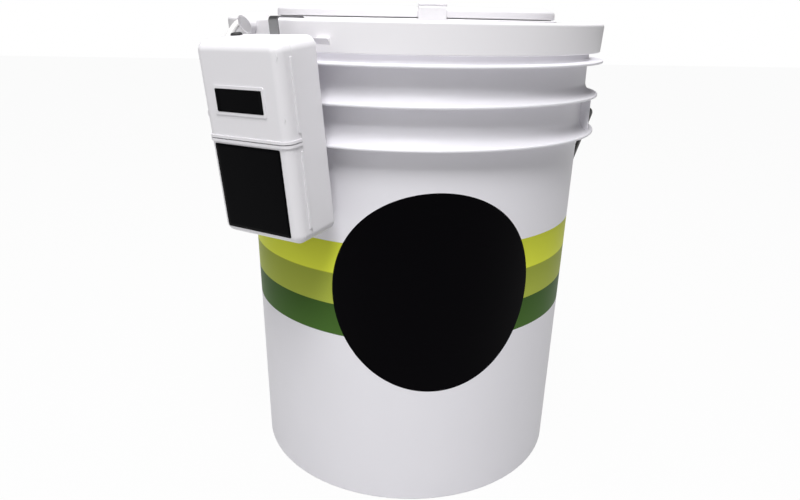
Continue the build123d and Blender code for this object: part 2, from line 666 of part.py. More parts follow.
with BuildPart() as hatch_seal:
    with BuildSketch(Plane.XZ):
        with Locations((PLUG_RADIUS, LEDGE_Z + GAP)):
            seal_width = HATCH_RADIUS - HATCH_WALL - PLUG_RADIUS
            Rectangle(seal_width, HATCH_UNDER - LEDGE_Z - GAP, align=(Align.MIN, Align.MIN))
    revolve(axis=Axis.Z)
hatch_seal.part.label = "hatch_seal"
export_step(hatch_seal.part, "parts/hatch_seal.step")

with BuildPart() as hatch_pin:
    with BuildSketch(Plane.YZ):
        with Locations((HINGE_Y, HINGE_Z)):
            Circle(HINGE_PIN_RADIUS)
    extrude(amount=HINGE_HALF_WIDTH + 0.6, both=True)
    for side in (-1, 1):
        with BuildSketch(Plane.YZ.offset(side * (HINGE_HALF_WIDTH + 0.3))):
            with Locations((HINGE_Y, HINGE_Z)):
                Circle(1.5 * HINGE_PIN_RADIUS)
        extrude(amount=side * 0.9)
hatch_pin.part.label = "hatch_pin"
export_step(hatch_pin.part, "parts/hatch_pin.step")

# -------------------------------------------------------------- hose port, grommet
spout_out = spot(cos(radians(PORT_SLOPE)), PORT_AZIMUTH, -sin(radians(PORT_SLOPE)))
face_centre = spot(PORT_FACE_RADIUS, PORT_AZIMUTH, PORT_FACE_Z)

with BuildPart() as hose_port:
    # Spout outside the skirt, whose end slopes down and out
    with BuildSketch(facing_plane(LID_RADIUS + FIT, PORT_AZIMUTH, PORT_FACE_Z)):
        Circle(PORT_DIAMETER / 2)
    extrude(amount=PORT_DIAMETER)
    with BuildSketch(Plane(origin=face_centre, x_dir=port_plane.x_dir, z_dir=spout_out)):
        Circle(PORT_DIAMETER / 2 + FIT)
    extrude(amount=-2 * PORT_DIAMETER, mode=Mode.INTERSECT)
    # Saddle over the rim
    add(saddle_face(saddle_inner, 0))
    extrude(amount=LID_RADIUS + SADDLE_REACH - saddle_inner, dir=spot(1, HOSE_AZIMUTH, 0))
    # Dished face and the hose's bore
    with BuildSketch(Plane(origin=face_centre, x_dir=port_plane.x_dir, z_dir=spout_out)):
        Circle(PORT_DISH / 2)
    extrude(amount=-PORT_DISH_DEPTH, mode=Mode.SUBTRACT)
    with BuildLine() as bore_line:
        FilletPolyline(*ROUTE[:5], radius=ROUTE_RADII[:3])
    with BuildSketch(Plane(origin=bore_line.line @ 0, z_dir=bore_line.line % 0)):
        Circle(HOSE_RADIUS + BORE_GAP)
    sweep(mode=Mode.SUBTRACT)
hose_port.part.label = "hose_port"
export_step(hose_port.part, "parts/hose_port.step")

with BuildPart() as hose_grommet:
    with BuildSketch(Plane(origin=(hose_drop.X, hose_drop.Y, 0), x_dir=(1, 0, 0), z_dir=(0, -1, 0))):
        with BuildLine():
            neck = GROMMET_RADIUS - GROMMET_LIP - FIT / 2
            grommet_bore = HOSE_RADIUS + GROMMET_GAP
            Polyline(
                (grommet_bore, PANEL_UNDER - GROMMET_LIP),
                (GROMMET_RADIUS, PANEL_UNDER - GROMMET_LIP),
                (GROMMET_RADIUS, PANEL_UNDER),
                (neck, PANEL_UNDER),
                (neck, PANEL_Z),
                (GROMMET_RADIUS, PANEL_Z),
                (GROMMET_RADIUS, PANEL_Z + GROMMET_LIP),
                (grommet_bore, PANEL_Z + GROMMET_LIP),
                close=True,
            )
        make_face()
    revolve(axis=Axis((hose_drop.X, hose_drop.Y, 0), (0, 0, 1)))
hose_grommet.part.label = "hose_grommet"
export_step(hose_grommet.part, "parts/hose_grommet.step")

# ------------------------------------------------------------------- pump's frame
pump_level = spot(1, PUMP_AZIMUTH, 0)
pump_right = Vector(0, 0, 1).cross(pump_level)
lean = radians(PUMP_LEAN)
roll = radians(PUMP_ROLL)
pump_out = pump_level * cos(lean) - Vector(0, 0, 1) * sin(lean)
pump_up = Vector(0, 0, 1) * cos(lean) + pump_level * sin(lean)
pump_frame = Plane(
    origin=pump_level * PUMP_STAND_OFF + pump_right * PUMP_SHIFT + Vector(0, 0, PUMP_TOP_Z),
    x_dir=pump_right * cos(roll) + pump_up * sin(roll),
    z_dir=pump_out,
)
COVER_INNER_Z = PUMP_DEPTH - PUMP_WALL
BAY_TOP_Y = PARTING_Y - PUMP_WALL / 2
WORKS_BOTTOM_Y = PARTING_Y + PUMP_WALL / 2
BAY_BOTTOM_Y = PUMP_WALL - PUMP_HEIGHT
MOTOR_Z = PUMP_DEPTH / 2
motor_end = MOTOR_X + MOTOR_LENGTH
wheel_start = motor_end + WHEEL_GAP
lever_x = wheel_start + WHEEL_THICKNESS + CRANK_GAP
DIAPHRAGM_X = lever_x + LEVER_THICKNESS / 2
OUTLET = pump_frame.to_local_coords(ROUTE[0] + (ROUTE[0] - ROUTE[1]).normalized() * ELBOW_DROP)


def pump_point(x, y, z):
    """A point of the pump's frame, in the bucket's frame."""
    return pump_frame.from_local_coords(Vector(x, y, z))


def pump_facing(z):
    """A plane across the pump, square to its front, at a depth from its back."""
    return pump_frame.offset(z)


def pump_across(x, y=0, z=0):
    """A plane that faces the pump's right side: X runs up the pump and Y runs out of its front."""
    return Plane(origin=pump_point(x, y, z), x_dir=pump_frame.y_dir, z_dir=pump_frame.x_dir)


def pump_along(y, x=0, z=0):
    """A plane that faces up the pump: X runs out of its front and Y runs to its right."""
    return Plane(origin=pump_point(x, y, z), x_dir=pump_frame.z_dir, z_dir=pump_frame.y_dir)


def pump_form(grow, low, high):
    """The pump's rounded outline, grown all round, from one depth to its front at another."""
    with BuildPart() as form:
        with BuildSketch(pump_facing(low)):
            with Locations((0, -PUMP_HEIGHT / 2)):
                RectangleRounded(PUMP_WIDTH + 2 * grow, PUMP_HEIGHT + 2 * grow, PUMP_CORNER + grow)
        extrude(amount=high - low)
        fillet(form.faces().sort_by(Axis(pump_frame.origin, pump_out))[-1].edges(), PUMP_EDGE + grow)
    return form.part


def pump_slab(low_y, high_y, low_z, high_z):
    """A block as wide as the pump, between two heights and two depths of its frame."""
    with BuildPart() as slab:
        with BuildSketch(pump_facing(low_z)):
            with Locations((0, (low_y + high_y) / 2)):
                Rectangle(2 * PUMP_WIDTH, high_y - low_y)
        extrude(amount=high_z - low_z)
    return slab.part


# --------------------------------------------------------------- back case, covers
case_face_z = SEAM_Z - SEAL_THICKNESS / 2
button_low = -PUMP_WALL - 2
switch_top = button_low - BUTTON_TRAVEL - FIT
cover_face_z = SEAM_Z + SEAL_THICKNESS / 2

with BuildPart() as back_case:
    with BuildSketch(pump_facing(0)):
        with Locations((0, -PUMP_HEIGHT / 2)):
            RectangleRounded(PUMP_WIDTH, PUMP_HEIGHT, PUMP_CORNER)
    extrude(amount=case_face_z)
    fillet(back_case.faces().sort_by(Axis(pump_frame.origin, pump_out))[0].edges(), PUMP_BACK_EDGE)
    # Works bay above the parting and battery bay below it
    with BuildSketch(pump_facing(PUMP_WALL)):
        with Locations((0, -PUMP_HEIGHT / 2)):
            RectangleRounded(INNER_WIDTH, PUMP_HEIGHT - 2 * PUMP_WALL, INNER_CORNER)
        with Locations((0, PARTING_Y)):
            Rectangle(INNER_WIDTH, PUMP_WALL, mode=Mode.SUBTRACT)
    extrude(amount=case_face_z - PUMP_WALL, mode=Mode.SUBTRACT)
    # Rib between the cells
    with BuildSketch(pump_facing(PUMP_WALL)):
        with Locations((0, (BAY_TOP_Y + BAY_BOTTOM_Y) / 2)):
            Rectangle(DIVIDER, BAY_TOP_Y - BAY_BOTTOM_Y)
    extrude(amount=CELL_DIAMETER / 3)
    # Screw bosses
    with BuildSketch(pump_facing(PUMP_WALL / 2)):
        with Locations(*SCREW_SPOTS):
            Circle(BOSS_RADIUS)
    extrude(amount=case_face_z - PUMP_WALL / 2)
    with BuildSketch(pump_facing(0)):
        with Locations(*SCREW_SPOTS):
            Circle(SCREW_DIAMETER / 2 + FIT)
    extrude(amount=case_face_z, mode=Mode.SUBTRACT)
    with BuildSketch(pump_facing(0)):
        with Locations(*SCREW_SPOTS):
            Circle(SCREW_HEAD_DIAMETER / 2 + FIT)
    extrude(amount=SCREW_HEAD_HEIGHT + FIT, mode=Mode.SUBTRACT)
    # Cradle under each of the motor's rubber sleeves
    sleeve_radius = MOTOR_DIAMETER / 2 + SLEEVE_THICKNESS
    last_sleeve = MOTOR_X + MOTOR_LENGTH - SLEEVE_LENGTH - SLEEVE_INSET
    sleeve_starts = [MOTOR_X + SLEEVE_INSET, last_sleeve]
    for start in sleeve_starts:
        with BuildSketch(pump_across(start + SLEEVE_LENGTH / 4, MOTOR_Y, PUMP_WALL / 2)):
            with Locations((0, 0)):
                cradle_height = MOTOR_Z - PUMP_WALL / 2 - 3
                Rectangle(2 * sleeve_radius + 1, cradle_height, align=(Align.CENTER, Align.MIN))
            with Locations((0, MOTOR_Z - PUMP_WALL / 2)):
                Circle(sleeve_radius + FIT / 2, mode=Mode.SUBTRACT)
        extrude(amount=SLEEVE_LENGTH / 2)
    # Two ears that carry the lever's pivot pin
    ear_starts = [lever_x - GAP - EAR_THICKNESS, lever_x + LEVER_THICKNESS + GAP]
    for start in ear_starts:
        with BuildSketch(pump_across(start, LEVER_PIVOT_Y, PUMP_WALL / 2)):
            with Locations((0, MOTOR_Z - PUMP_WALL / 2)):
                Circle(LEVER_PIN_DIAMETER)
                ear_height = MOTOR_Z - PUMP_WALL / 2
                Rectangle(2 * LEVER_PIN_DIAMETER, ear_height, align=(Align.CENTER, Align.MAX))
                Circle(LEVER_PIN_DIAMETER / 2 + FIT / 2, mode=Mode.SUBTRACT)
        extrude(amount=EAR_THICKNESS)
    # Pad that carries the switch
    with BuildSketch(pump_facing(PUMP_WALL / 2)):
        with Locations((BUTTON_X, switch_top - SWITCH_DEPTH / 2)):
            Rectangle(SWITCH_WIDTH, SWITCH_DEPTH)
    extrude(amount=BUTTON_Z - SWITCH_WIDTH / 2 - PUMP_WALL / 2)
    # Holes for the button, the outlet elbow and the clip's rivets
    with BuildSketch(pump_along(-PUMP_WALL - 1, BUTTON_X, BUTTON_Z)):
        Circle(BUTTON_DIAMETER / 2 + GAP)
    extrude(amount=2 * PUMP_WALL + 2, mode=Mode.SUBTRACT)
    with BuildSketch(pump_across(-PUMP_WIDTH / 2 - 1, OUTLET.Y, OUTLET.Z)):
        Circle(ELBOW_DIAMETER / 2 + FIT / 2)
    extrude(amount=PUMP_WALL + 2, mode=Mode.SUBTRACT)
    with BuildSketch(pump_facing(0)):
        with Locations(*[(CLIP_X, y) for y in RIVET_YS]):
            Circle(RIVET_RADIUS + FIT / 2)
    extrude(amount=PUMP_WALL, mode=Mode.SUBTRACT)
back_case.part.label = "back_case"
export_step(back_case.part, "parts/back_case.step")

outer_form = pump_form(0, cover_face_z, PUMP_DEPTH)
inner_form = pump_form(-PUMP_WALL, cover_face_z - 1, COVER_INNER_Z)
lip_form = pump_form(LIP_PROUD, cover_face_z, PUMP_DEPTH + LIP_PROUD)
seam_top = cover_face_z + SEAM_RIB_WIDTH
front_z = PUMP_DEPTH + 1  # clear of everything on the pump's front

with BuildPart() as upper_cover:
    add(outer_form)
    # Raised lip above the parting, and raised rib along the seam
    lip_high = PARTING_Y + PARTING_GAP / 2 + LIP_WIDTH
    add(lip_form & pump_slab(PARTING_Y, lip_high, cover_face_z, front_z))
    rib_high = -PUMP_CORNER - RIB_STOP / 2
    add(lip_form & pump_slab(PARTING_Y + RIB_STOP, rib_high, cover_face_z, seam_top))
    add(inner_form, mode=Mode.SUBTRACT)
    # Wall that closes the works bay at the parting
    add(outer_form & pump_slab(PARTING_Y, WORKS_BOTTOM_Y, cover_face_z, PUMP_DEPTH))
    below_parting = pump_slab(-2 * PUMP_HEIGHT, PARTING_Y + PARTING_GAP / 2, cover_face_z - 1, front_z)
    add(below_parting, mode=Mode.SUBTRACT)
    # Raised frame round a small panel
    with BuildSketch(pump_facing(PUMP_DEPTH - PUMP_WALL / 2)):
        with Locations((FRAME_X, FRAME_Y)):
            RectangleRounded(FRAME_WIDTH, FRAME_HEIGHT, FRAME_BAND / 2)
            Rectangle(FRAME_WIDTH - 2 * FRAME_BAND, FRAME_HEIGHT - 2 * FRAME_BAND, mode=Mode.SUBTRACT)
    extrude(amount=PUMP_WALL / 2 + FRAME_PROUD)
    # Bosses that take the screws from the back
    with BuildSketch(pump_facing(cover_face_z)):
        with Locations(*SCREW_SPOTS):
            Circle(BOSS_RADIUS)
    extrude(amount=COVER_INNER_Z - cover_face_z + PUMP_WALL / 4)
    with BuildSketch(pump_facing(cover_face_z)):
        with Locations(*SCREW_SPOTS):
            Circle(SCREW_DIAMETER / 2 + FIT / 4)
    extrude(amount=SCREW_LENGTH - SEAM_Z + 1, mode=Mode.SUBTRACT)
upper_cover.part.label = "upper_cover"
export_step(upper_cover.part, "parts/upper_cover.step")

with BuildPart() as battery_cover:
    add(outer_form)
    lip_low = PARTING_Y - PARTING_GAP / 2 - LIP_WIDTH
    add(lip_form & pump_slab(lip_low, PARTING_Y, cover_face_z, front_z))
    rib_low = PUMP_CORNER + RIB_STOP / 2 - PUMP_HEIGHT
    add(lip_form & pump_slab(rib_low, PARTING_Y - RIB_STOP, cover_face_z, seam_top))
    add(inner_form, mode=Mode.SUBTRACT)
    above_parting = pump_slab(PARTING_Y - PARTING_GAP / 2, PUMP_HEIGHT, cover_face_z - 1, front_z)
    add(above_parting, mode=Mode.SUBTRACT)
battery_cover.part.label = "battery_cover"
export_step(battery_cover.part, "parts/battery_cover.step")

with BuildPart() as case_seal:
    with BuildSketch(pump_facing(case_face_z)):
        with Locations((0, -PUMP_HEIGHT / 2)):
            RectangleRounded(PUMP_WIDTH - 2 * FIT, PUMP_HEIGHT - 2 * FIT, PUMP_CORNER - FIT)
            inner_height = PUMP_HEIGHT - 2 * PUMP_WALL
            RectangleRounded(INNER_WIDTH, inner_height, INNER_CORNER, mode=Mode.SUBTRACT)
        with Locations((0, PARTING_Y)):
            Rectangle(INNER_WIDTH + PUMP_WALL, PUMP_WALL)
    extrude(amount=SEAL_THICKNESS - FIT / 2)
case_seal.part.label = "case_seal"
export_step(case_seal.part, "parts/case_seal.step")

with BuildPart() as case_screws:
    with BuildSketch(pump_facing(FIT)):
        with Locations(*SCREW_SPOTS):
            Circle(SCREW_HEAD_DIAMETER / 2)
    extrude(amount=SCREW_HEAD_HEIGHT - FIT)
    with BuildSketch(pump_facing(FIT)):
        with Locations(*SCREW_SPOTS):
            Circle(SCREW_DIAMETER / 2)
    extrude(amount=SCREW_LENGTH)
    with BuildSketch(pump_facing(FIT)):
        with Locations(*SCREW_SPOTS):
            Rectangle(SCREW_HEAD_DIAMETER * 0.7, 0.6)
            Rectangle(0.6, SCREW_HEAD_DIAMETER * 0.7)
    extrude(amount=SCREW_HEAD_HEIGHT / 2, mode=Mode.SUBTRACT)
case_screws.part.label = "case_screws"
export_step(case_screws.part, "parts/case_screws.step")

# -------------------------------------------------------------- cells and contacts
cell_x = CELL_DIAMETER / 2 + DIVIDER / 2 + GAP
cell_z = PUMP_WALL + GAP + CELL_DIAMETER / 2
cell_low = BAY_BOTTOM_Y + CONTACT_ROOM
contact_drop = CONTACT_ROOM - FIT  # from a bay's end wall to the cells


def cell(nub_up):
    """One cell standing in the bay, with its nub up or down."""
    side = -1 if nub_up else 1
    with BuildPart() as body:
        with BuildSketch(pump_across(side * cell_x, 0, cell_z)):
            with BuildLine():
                ends = [cell_low, cell_low + CELL_STACK]
                can = [ends[0], ends[1] - NUB_HEIGHT] if nub_up else [ends[0] + NUB_HEIGHT, ends[1]]
                nub = [can[1], ends[1]] if nub_up else [ends[0], can[0]]
                Polyline(
                    (min(nub[0], can[0]), 0),
                    *[(y, NUB_DIAMETER / 2) for y in nub if not nub_up],
                    (can[0], CELL_DIAMETER / 2 - 1),
                    (can[0] + 1, CELL_DIAMETER / 2),
                    (can[1] - 1, CELL_DIAMETER / 2),
                    (can[1], CELL_DIAMETER / 2 - 1),
                    *[(y, NUB_DIAMETER / 2) for y in nub if nub_up],
                    (max(nub[1], can[1]), 0),
                    close=True,
                )
            make_face()
        revolve(axis=Axis(pump_point(side * cell_x, 0, cell_z), pump_frame.y_dir))
    return body.part


cell_left = cell(True)
cell_left.label = "cell_left"
export_step(cell_left, "parts/cell_left.step")
cell_right = cell(False)
cell_right.label = "cell_right"
export_step(cell_right, "parts/cell_right.step")

with BuildPart() as contact_bridge:
    with BuildSketch(pump_along(BAY_BOTTOM_Y, 0, cell_z)):
        Rectangle(NUB_DIAMETER, 2 * cell_x + NUB_DIAMETER)
    extrude(amount=CONTACT_THICKNESS)
    with BuildSketch(pump_along(BAY_BOTTOM_Y + CONTACT_THICKNESS, 0, cell_z)):
        with Locations((0, -cell_x), (0, cell_x)):
            Circle(NUB_DIAMETER / 2 - 1)
    extrude(amount=contact_drop - CONTACT_THICKNESS, taper=20)
contact_bridge.part.label = "contact_bridge"
export_step(contact_bridge.part, "parts/contact_bridge.step")

with BuildPart() as contact_pads:
    with BuildSketch(pump_along(BAY_TOP_Y, 0, cell_z)):
        with Locations((0, -cell_x), (0, cell_x)):
            Rectangle(NUB_DIAMETER, 1.5 * NUB_DIAMETER)
    extrude(amount=-CONTACT_THICKNESS)
    with BuildSketch(pump_along(BAY_TOP_Y - CONTACT_THICKNESS, 0, cell_z)):
        with Locations((0, -cell_x), (0, cell_x)):
            Circle(NUB_DIAMETER / 2 - 1)
    extrude(amount=-(contact_drop - CONTACT_THICKNESS), taper=20)
contact_pads.part.label = "contact_pads"
export_step(contact_pads.part, "parts/contact_pads.step")

# ------------------------------------------------------------- motor and crank
shaft_depth = MOTOR_LENGTH / 2

with BuildPart() as motor:
    with BuildSketch(pump_across(MOTOR_X, MOTOR_Y, MOTOR_Z)):
        Circle(MOTOR_DIAMETER / 2)
    extrude(amount=MOTOR_LENGTH)
    fillet(motor.edges().filter_by(GeomType.CIRCLE), 0.8)
    with BuildSketch(pump_across(motor_end - shaft_depth - GAP, MOTOR_Y, MOTOR_Z)):
        Circle(SHAFT_DIAMETER / 2 + FIT)
    extrude(amount=shaft_depth + GAP, mode=Mode.SUBTRACT)
motor.part.label = "motor"
export_step(motor.part, "parts/motor.step")

with BuildPart() as motor_sleeves:
    for start in sleeve_starts:
        with BuildSketch(pump_across(start, MOTOR_Y, MOTOR_Z)):
            Circle(sleeve_radius)
            Circle(MOTOR_DIAMETER / 2 + FIT / 2, mode=Mode.SUBTRACT)
        extrude(amount=SLEEVE_LENGTH)
motor_sleeves.part.label = "motor_sleeves"
export_step(motor_sleeves.part, "parts/motor_sleeves.step")

with BuildPart() as motor_shaft:
    with BuildSketch(pump_across(motor_end - shaft_depth, MOTOR_Y, MOTOR_Z)):
        Circle(SHAFT_DIAMETER / 2)
    extrude(amount=wheel_start + WHEEL_THICKNESS - motor_end + shaft_depth)
motor_shaft.part.label = "motor_shaft"
export_step(motor_shaft.part, "parts/motor_shaft.step")

with BuildPart() as crank_wheel:
    with BuildSketch(pump_across(wheel_start, MOTOR_Y, MOTOR_Z)):
        Circle(WHEEL_DIAMETER / 2)
        Circle(SHAFT_DIAMETER / 2 + FIT / 4, mode=Mode.SUBTRACT)
    extrude(amount=WHEEL_THICKNESS)
    with BuildSketch(pump_across(wheel_start + WHEEL_THICKNESS - 1, MOTOR_Y + CRANK_THROW, MOTOR_Z)):
        Circle(CRANK_DIAMETER / 2)
    extrude(amount=lever_x + LEVER_THICKNESS - wheel_start - WHEEL_THICKNESS + 2)
    # The shaft's bore stays open under the crank pin's root
    with BuildSketch(pump_across(wheel_start, MOTOR_Y, MOTOR_Z)):
        Circle(SHAFT_DIAMETER / 2 + FIT / 4)
    extrude(amount=WHEEL_THICKNESS, mode=Mode.SUBTRACT)
crank_wheel.part.label = "crank_wheel"
export_step(crank_wheel.part, "parts/crank_wheel.step")

# -------------------------------------------------------- lever, diaphragm, valves
valve_low = PUMP_WALL + FLAP_THICKNESS + FIT
valve_high = valve_low + VALVE_BLOCK_DEPTH
diaphragm_high = valve_high + DIAPHRAGM_HEIGHT
lever_reach = MOTOR_Y - LEVER_PIVOT_Y
lever_sweep = lever_reach * sin(radians(LEVER_SWING))
lever_eye = CRANK_THROW + CRANK_DIAMETER / 2 + lever_sweep / 2 + GAP
lever_tip = DIAPHRAGM_Y + 3

with BuildPart() as lever:
    with BuildSketch(pump_across(lever_x, 0, MOTOR_Z)):
        with BuildLine():
            half = LEVER_WIDTH / 2
            Polyline(
                (LEVER_PIVOT_Y, -LEVER_PIN_DIAMETER),
                (MOTOR_Y - half, -half),
                (MOTOR_Y + half, -half),
                (lever_tip, -half),
                (lever_tip, 0),
                (MOTOR_Y + half, half),
                (MOTOR_Y - half, half),
                (LEVER_PIVOT_Y, LEVER_PIN_DIAMETER),
                close=True,
            )
        make_face()
        with Locations((LEVER_PIVOT_Y, 0)):
            Circle(LEVER_PIN_DIAMETER)
            Circle(LEVER_PIN_DIAMETER / 2 + FIT, mode=Mode.SUBTRACT)
        with Locations((MOTOR_Y, -lever_sweep / 2)):
            Circle(lever_eye, mode=Mode.SUBTRACT)
    extrude(amount=LEVER_THICKNESS)
    # Foot that presses the diaphragm
    with BuildSketch(pump_facing(diaphragm_high + GAP)):
        with Locations((DIAPHRAGM_X, DIAPHRAGM_Y)):
            Circle(LEVER_THICKNESS / 2)
    extrude(amount=MOTOR_Z - LEVER_WIDTH / 2 - diaphragm_high - GAP + 1)
lever.part.label = "lever"
export_step(lever.part, "parts/lever.step")

with BuildPart() as lever_pin:
    with BuildSketch(pump_across(ear_starts[0], LEVER_PIVOT_Y, MOTOR_Z)):
        Circle(LEVER_PIN_DIAMETER / 2)
    extrude(amount=ear_starts[1] + EAR_THICKNESS - ear_starts[0])
lever_pin.part.label = "lever_pin"
export_step(lever_pin.part, "parts/lever_pin.step")

with BuildPart() as valve_block:
    with BuildSketch(pump_facing(valve_low)):
        with Locations((DIAPHRAGM_X, DIAPHRAGM_Y)):
            RectangleRounded(VALVE_BLOCK_SIZE, VALVE_BLOCK_SIZE, 2)
    extrude(amount=VALVE_BLOCK_DEPTH)
    # Chamber under the diaphragm, two valve ports and the outlet passage
    with BuildSketch(pump_facing(valve_high - 1.2)):
        with Locations((DIAPHRAGM_X, DIAPHRAGM_Y)):
            Circle(DIAPHRAGM_DIAMETER / 2 - 3)
    extrude(amount=1.2, mode=Mode.SUBTRACT)
    with BuildSketch(pump_facing(valve_low)):
        with Locations((DIAPHRAGM_X - 4, DIAPHRAGM_Y - 3), (DIAPHRAGM_X + 4, DIAPHRAGM_Y - 3)):
            Circle(1.1)
    extrude(amount=VALVE_BLOCK_DEPTH, mode=Mode.SUBTRACT)
valve_block.part.label = "valve_block"
export_step(valve_block.part, "parts/valve_block.step")

with BuildPart() as valve_flaps:
    with BuildSketch(pump_facing(PUMP_WALL + FIT / 2)):
        with Locations((DIAPHRAGM_X, DIAPHRAGM_Y)):
            RectangleRounded(VALVE_BLOCK_SIZE - 4, VALVE_BLOCK_SIZE / 2, 2)
    extrude(amount=FLAP_THICKNESS)
valve_flaps.part.label = "valve_flaps"
export_step(valve_flaps.part, "parts/valve_flaps.step")

with BuildPart() as diaphragm:
    with BuildSketch(pump_facing(valve_high)):
        with Locations((DIAPHRAGM_X, DIAPHRAGM_Y)):
            Circle(DIAPHRAGM_DIAMETER / 2)
    extrude(amount=DIAPHRAGM_BASE)
    with BuildSketch(pump_facing(valve_high + DIAPHRAGM_BASE)):
        with Locations((DIAPHRAGM_X, DIAPHRAGM_Y)):
            Circle(DIAPHRAGM_DIAMETER / 2 - 2)
    extrude(amount=DIAPHRAGM_HEIGHT - DIAPHRAGM_BASE, taper=45)
diaphragm.part.label = "diaphragm"
export_step(diaphragm.part, "parts/diaphragm.step")

duct_end = DIAPHRAGM_X - VALVE_BLOCK_SIZE / 2
elbow_inner = PUMP_WALL + 2 - PUMP_WIDTH / 2

with BuildPart() as air_duct:
    with BuildSketch(pump_across(elbow_inner, OUTLET.Y, OUTLET.Z)):
        Circle(DUCT_DIAMETER / 2)
    extrude(amount=duct_end - elbow_inner)
air_duct.part.label = "air_duct"
export_step(air_duct.part, "parts/air_duct.step")

with BuildPart() as outlet_elbow:
    with BuildLine() as elbow_line:
        FilletPolyline(
            pump_point(elbow_inner, OUTLET.Y, OUTLET.Z),
            pump_point(OUTLET.X, OUTLET.Y, OUTLET.Z),
            ROUTE[0],
            radius=ELBOW_DIAMETER / 2 + FIT,
        )
    with BuildSketch(Plane(origin=elbow_line.line @ 0, z_dir=elbow_line.line % 0)):
        Circle(ELBOW_DIAMETER / 2)
    sweep()
outlet_elbow.part.label = "outlet_elbow"
export_step(outlet_elbow.part, "parts/outlet_elbow.step")

# ------------------------------------------------------------------------ switch
with BuildPart() as switch_body:
    with BuildSketch(pump_along(switch_top, BUTTON_X, BUTTON_Z)):
        Rectangle(SWITCH_WIDTH, SWITCH_WIDTH)
    extrude(amount=-SWITCH_DEPTH)
switch_body.part.label = "switch_body"
export_step(switch_body.part, "parts/switch_body.step")

with BuildPart() as switch_button:
    with BuildSketch(pump_along(button_low, BUTTON_X, BUTTON_Z)):
        Circle(BUTTON_DIAMETER / 2)
    extrude(amount=BUTTON_PROUD - button_low)
    fillet(switch_button.faces().sort_by(Axis(pump_frame.origin, pump_up))[-1].edges(), 1.2)
switch_button.part.label = "switch_button"
export_step(switch_button.part, "parts/switch_button.step")

# ------------------------------------------------------------- clip and rivets
clip_half = CLIP_THICKNESS / 2
clip_rise = (LID_Z + FIT + clip_half - PUMP_TOP_Z) / cos(lean)
clip_top = Vector(0, clip_rise, -clip_half)
rim_chord = sqrt((RIM_INNER - FIT - clip_half) ** 2 - (abs(PUMP_SHIFT) + CLIP_WIDTH / 2) ** 2)
clip_run = (PUMP_STAND_OFF + clip_rise * sin(lean)) - clip_half * cos(lean) - rim_chord
level_in = Vector(0, -sin(lean), -cos(lean))  # in the pump's frame
clip_over = clip_top + level_in * clip_run

with BuildPart() as pump_clip:
    with BuildLine(pump_across(CLIP_X)) as clip_line:
        FilletPolyline(
            (CLIP_FOOT_Y, -clip_half),
            (clip_top.Y, clip_top.Z),
            (clip_over.Y, clip_over.Z),
            (clip_over.Y - CLIP_TUCK * cos(lean), clip_over.Z + CLIP_TUCK * sin(lean)),
            radius=CLIP_BEND,
        )
    with BuildSketch(Plane(origin=clip_line.line @ 0, x_dir=pump_frame.x_dir, z_dir=clip_line.line % 0)):
        Rectangle(CLIP_WIDTH, CLIP_THICKNESS)
    sweep()
    with BuildSketch(pump_facing(-CLIP_THICKNESS)):
        with Locations(*[(CLIP_X, y) for y in RIVET_YS]):
            Circle(RIVET_RADIUS + FIT / 2)
    extrude(amount=CLIP_THICKNESS, mode=Mode.SUBTRACT)
pump_clip.part.label = "pump_clip"
export_step(pump_clip.part, "parts/pump_clip.step")

with BuildPart() as clip_rivets:
    spots = [(CLIP_X, y) for y in RIVET_YS]
    with BuildSketch(pump_facing(-CLIP_THICKNESS - RIVET_HEAD_HEIGHT)):
        with Locations(*spots):
            Circle(RIVET_HEAD_RADIUS)
    extrude(amount=RIVET_HEAD_HEIGHT)
    with BuildSketch(pump_facing(-CLIP_THICKNESS)):
        with Locations(*spots):
            Circle(RIVET_RADIUS)
    extrude(amount=CLIP_THICKNESS + PUMP_WALL)
    with BuildSketch(pump_facing(PUMP_WALL)):
        with Locations(*spots):
            Circle(RIVET_HEAD_RADIUS)
    extrude(amount=RIVET_HEAD_HEIGHT)
clip_rivets.part.label = "clip_rivets"
export_step(clip_rivets.part, "parts/clip_rivets.step")

# ------------------------------------------------------------ airline, air stone
with BuildPart() as airline:
    with BuildLine() as airline_path:
        FilletPolyline(*ROUTE, radius=ROUTE_RADII)
    with BuildSketch(Plane(origin=airline_path.line @ 0, z_dir=airline_path.line % 0)):
        Circle(HOSE_RADIUS)
    sweep()
airline.part.label = "airline"
export_step(airline.part, "parts/airline.step")

print("airline bends", [round(bend, 1) for bend in ROUTE_RADII])
airline_length = sum(edge.length for edge in airline_path.edges())
section = pi * HOSE_RADIUS ** 2
print("airline length", airline_length, "volume", airline.part.volume, "of", section * airline_length)

stone_out = (ROUTE[-1] - ROUTE[-2]).normalized()
stone_plane = Plane(origin=ROUTE[-1], x_dir=stone_out, z_dir=stone_out.cross(Vector(0, 0, 1)))
cap_end = STONE_SPIGOT_LENGTH + STONE_CAP_LENGTH
stone_radius = STONE_DIAMETER / 2

with BuildPart() as stone_cap:
    with BuildSketch(stone_plane) as cap_profile:
        with BuildLine():
            Polyline(
                (0, 0),
                (0, SPIGOT_RADIUS),
                (STONE_SPIGOT_LENGTH, SPIGOT_RADIUS),
                (STONE_SPIGOT_LENGTH, stone_radius),
                (cap_end, stone_radius),
                (cap_end, 0),
                close=True,
            )
        make_face()
        fillet(cap_profile.vertices().sort_by_distance((STONE_SPIGOT_LENGTH, stone_radius))[0], 1)
    revolve(axis=Axis(ROUTE[-1], stone_out))
stone_cap.part.label = "stone_cap"
export_step(stone_cap.part, "parts/stone_cap.step")

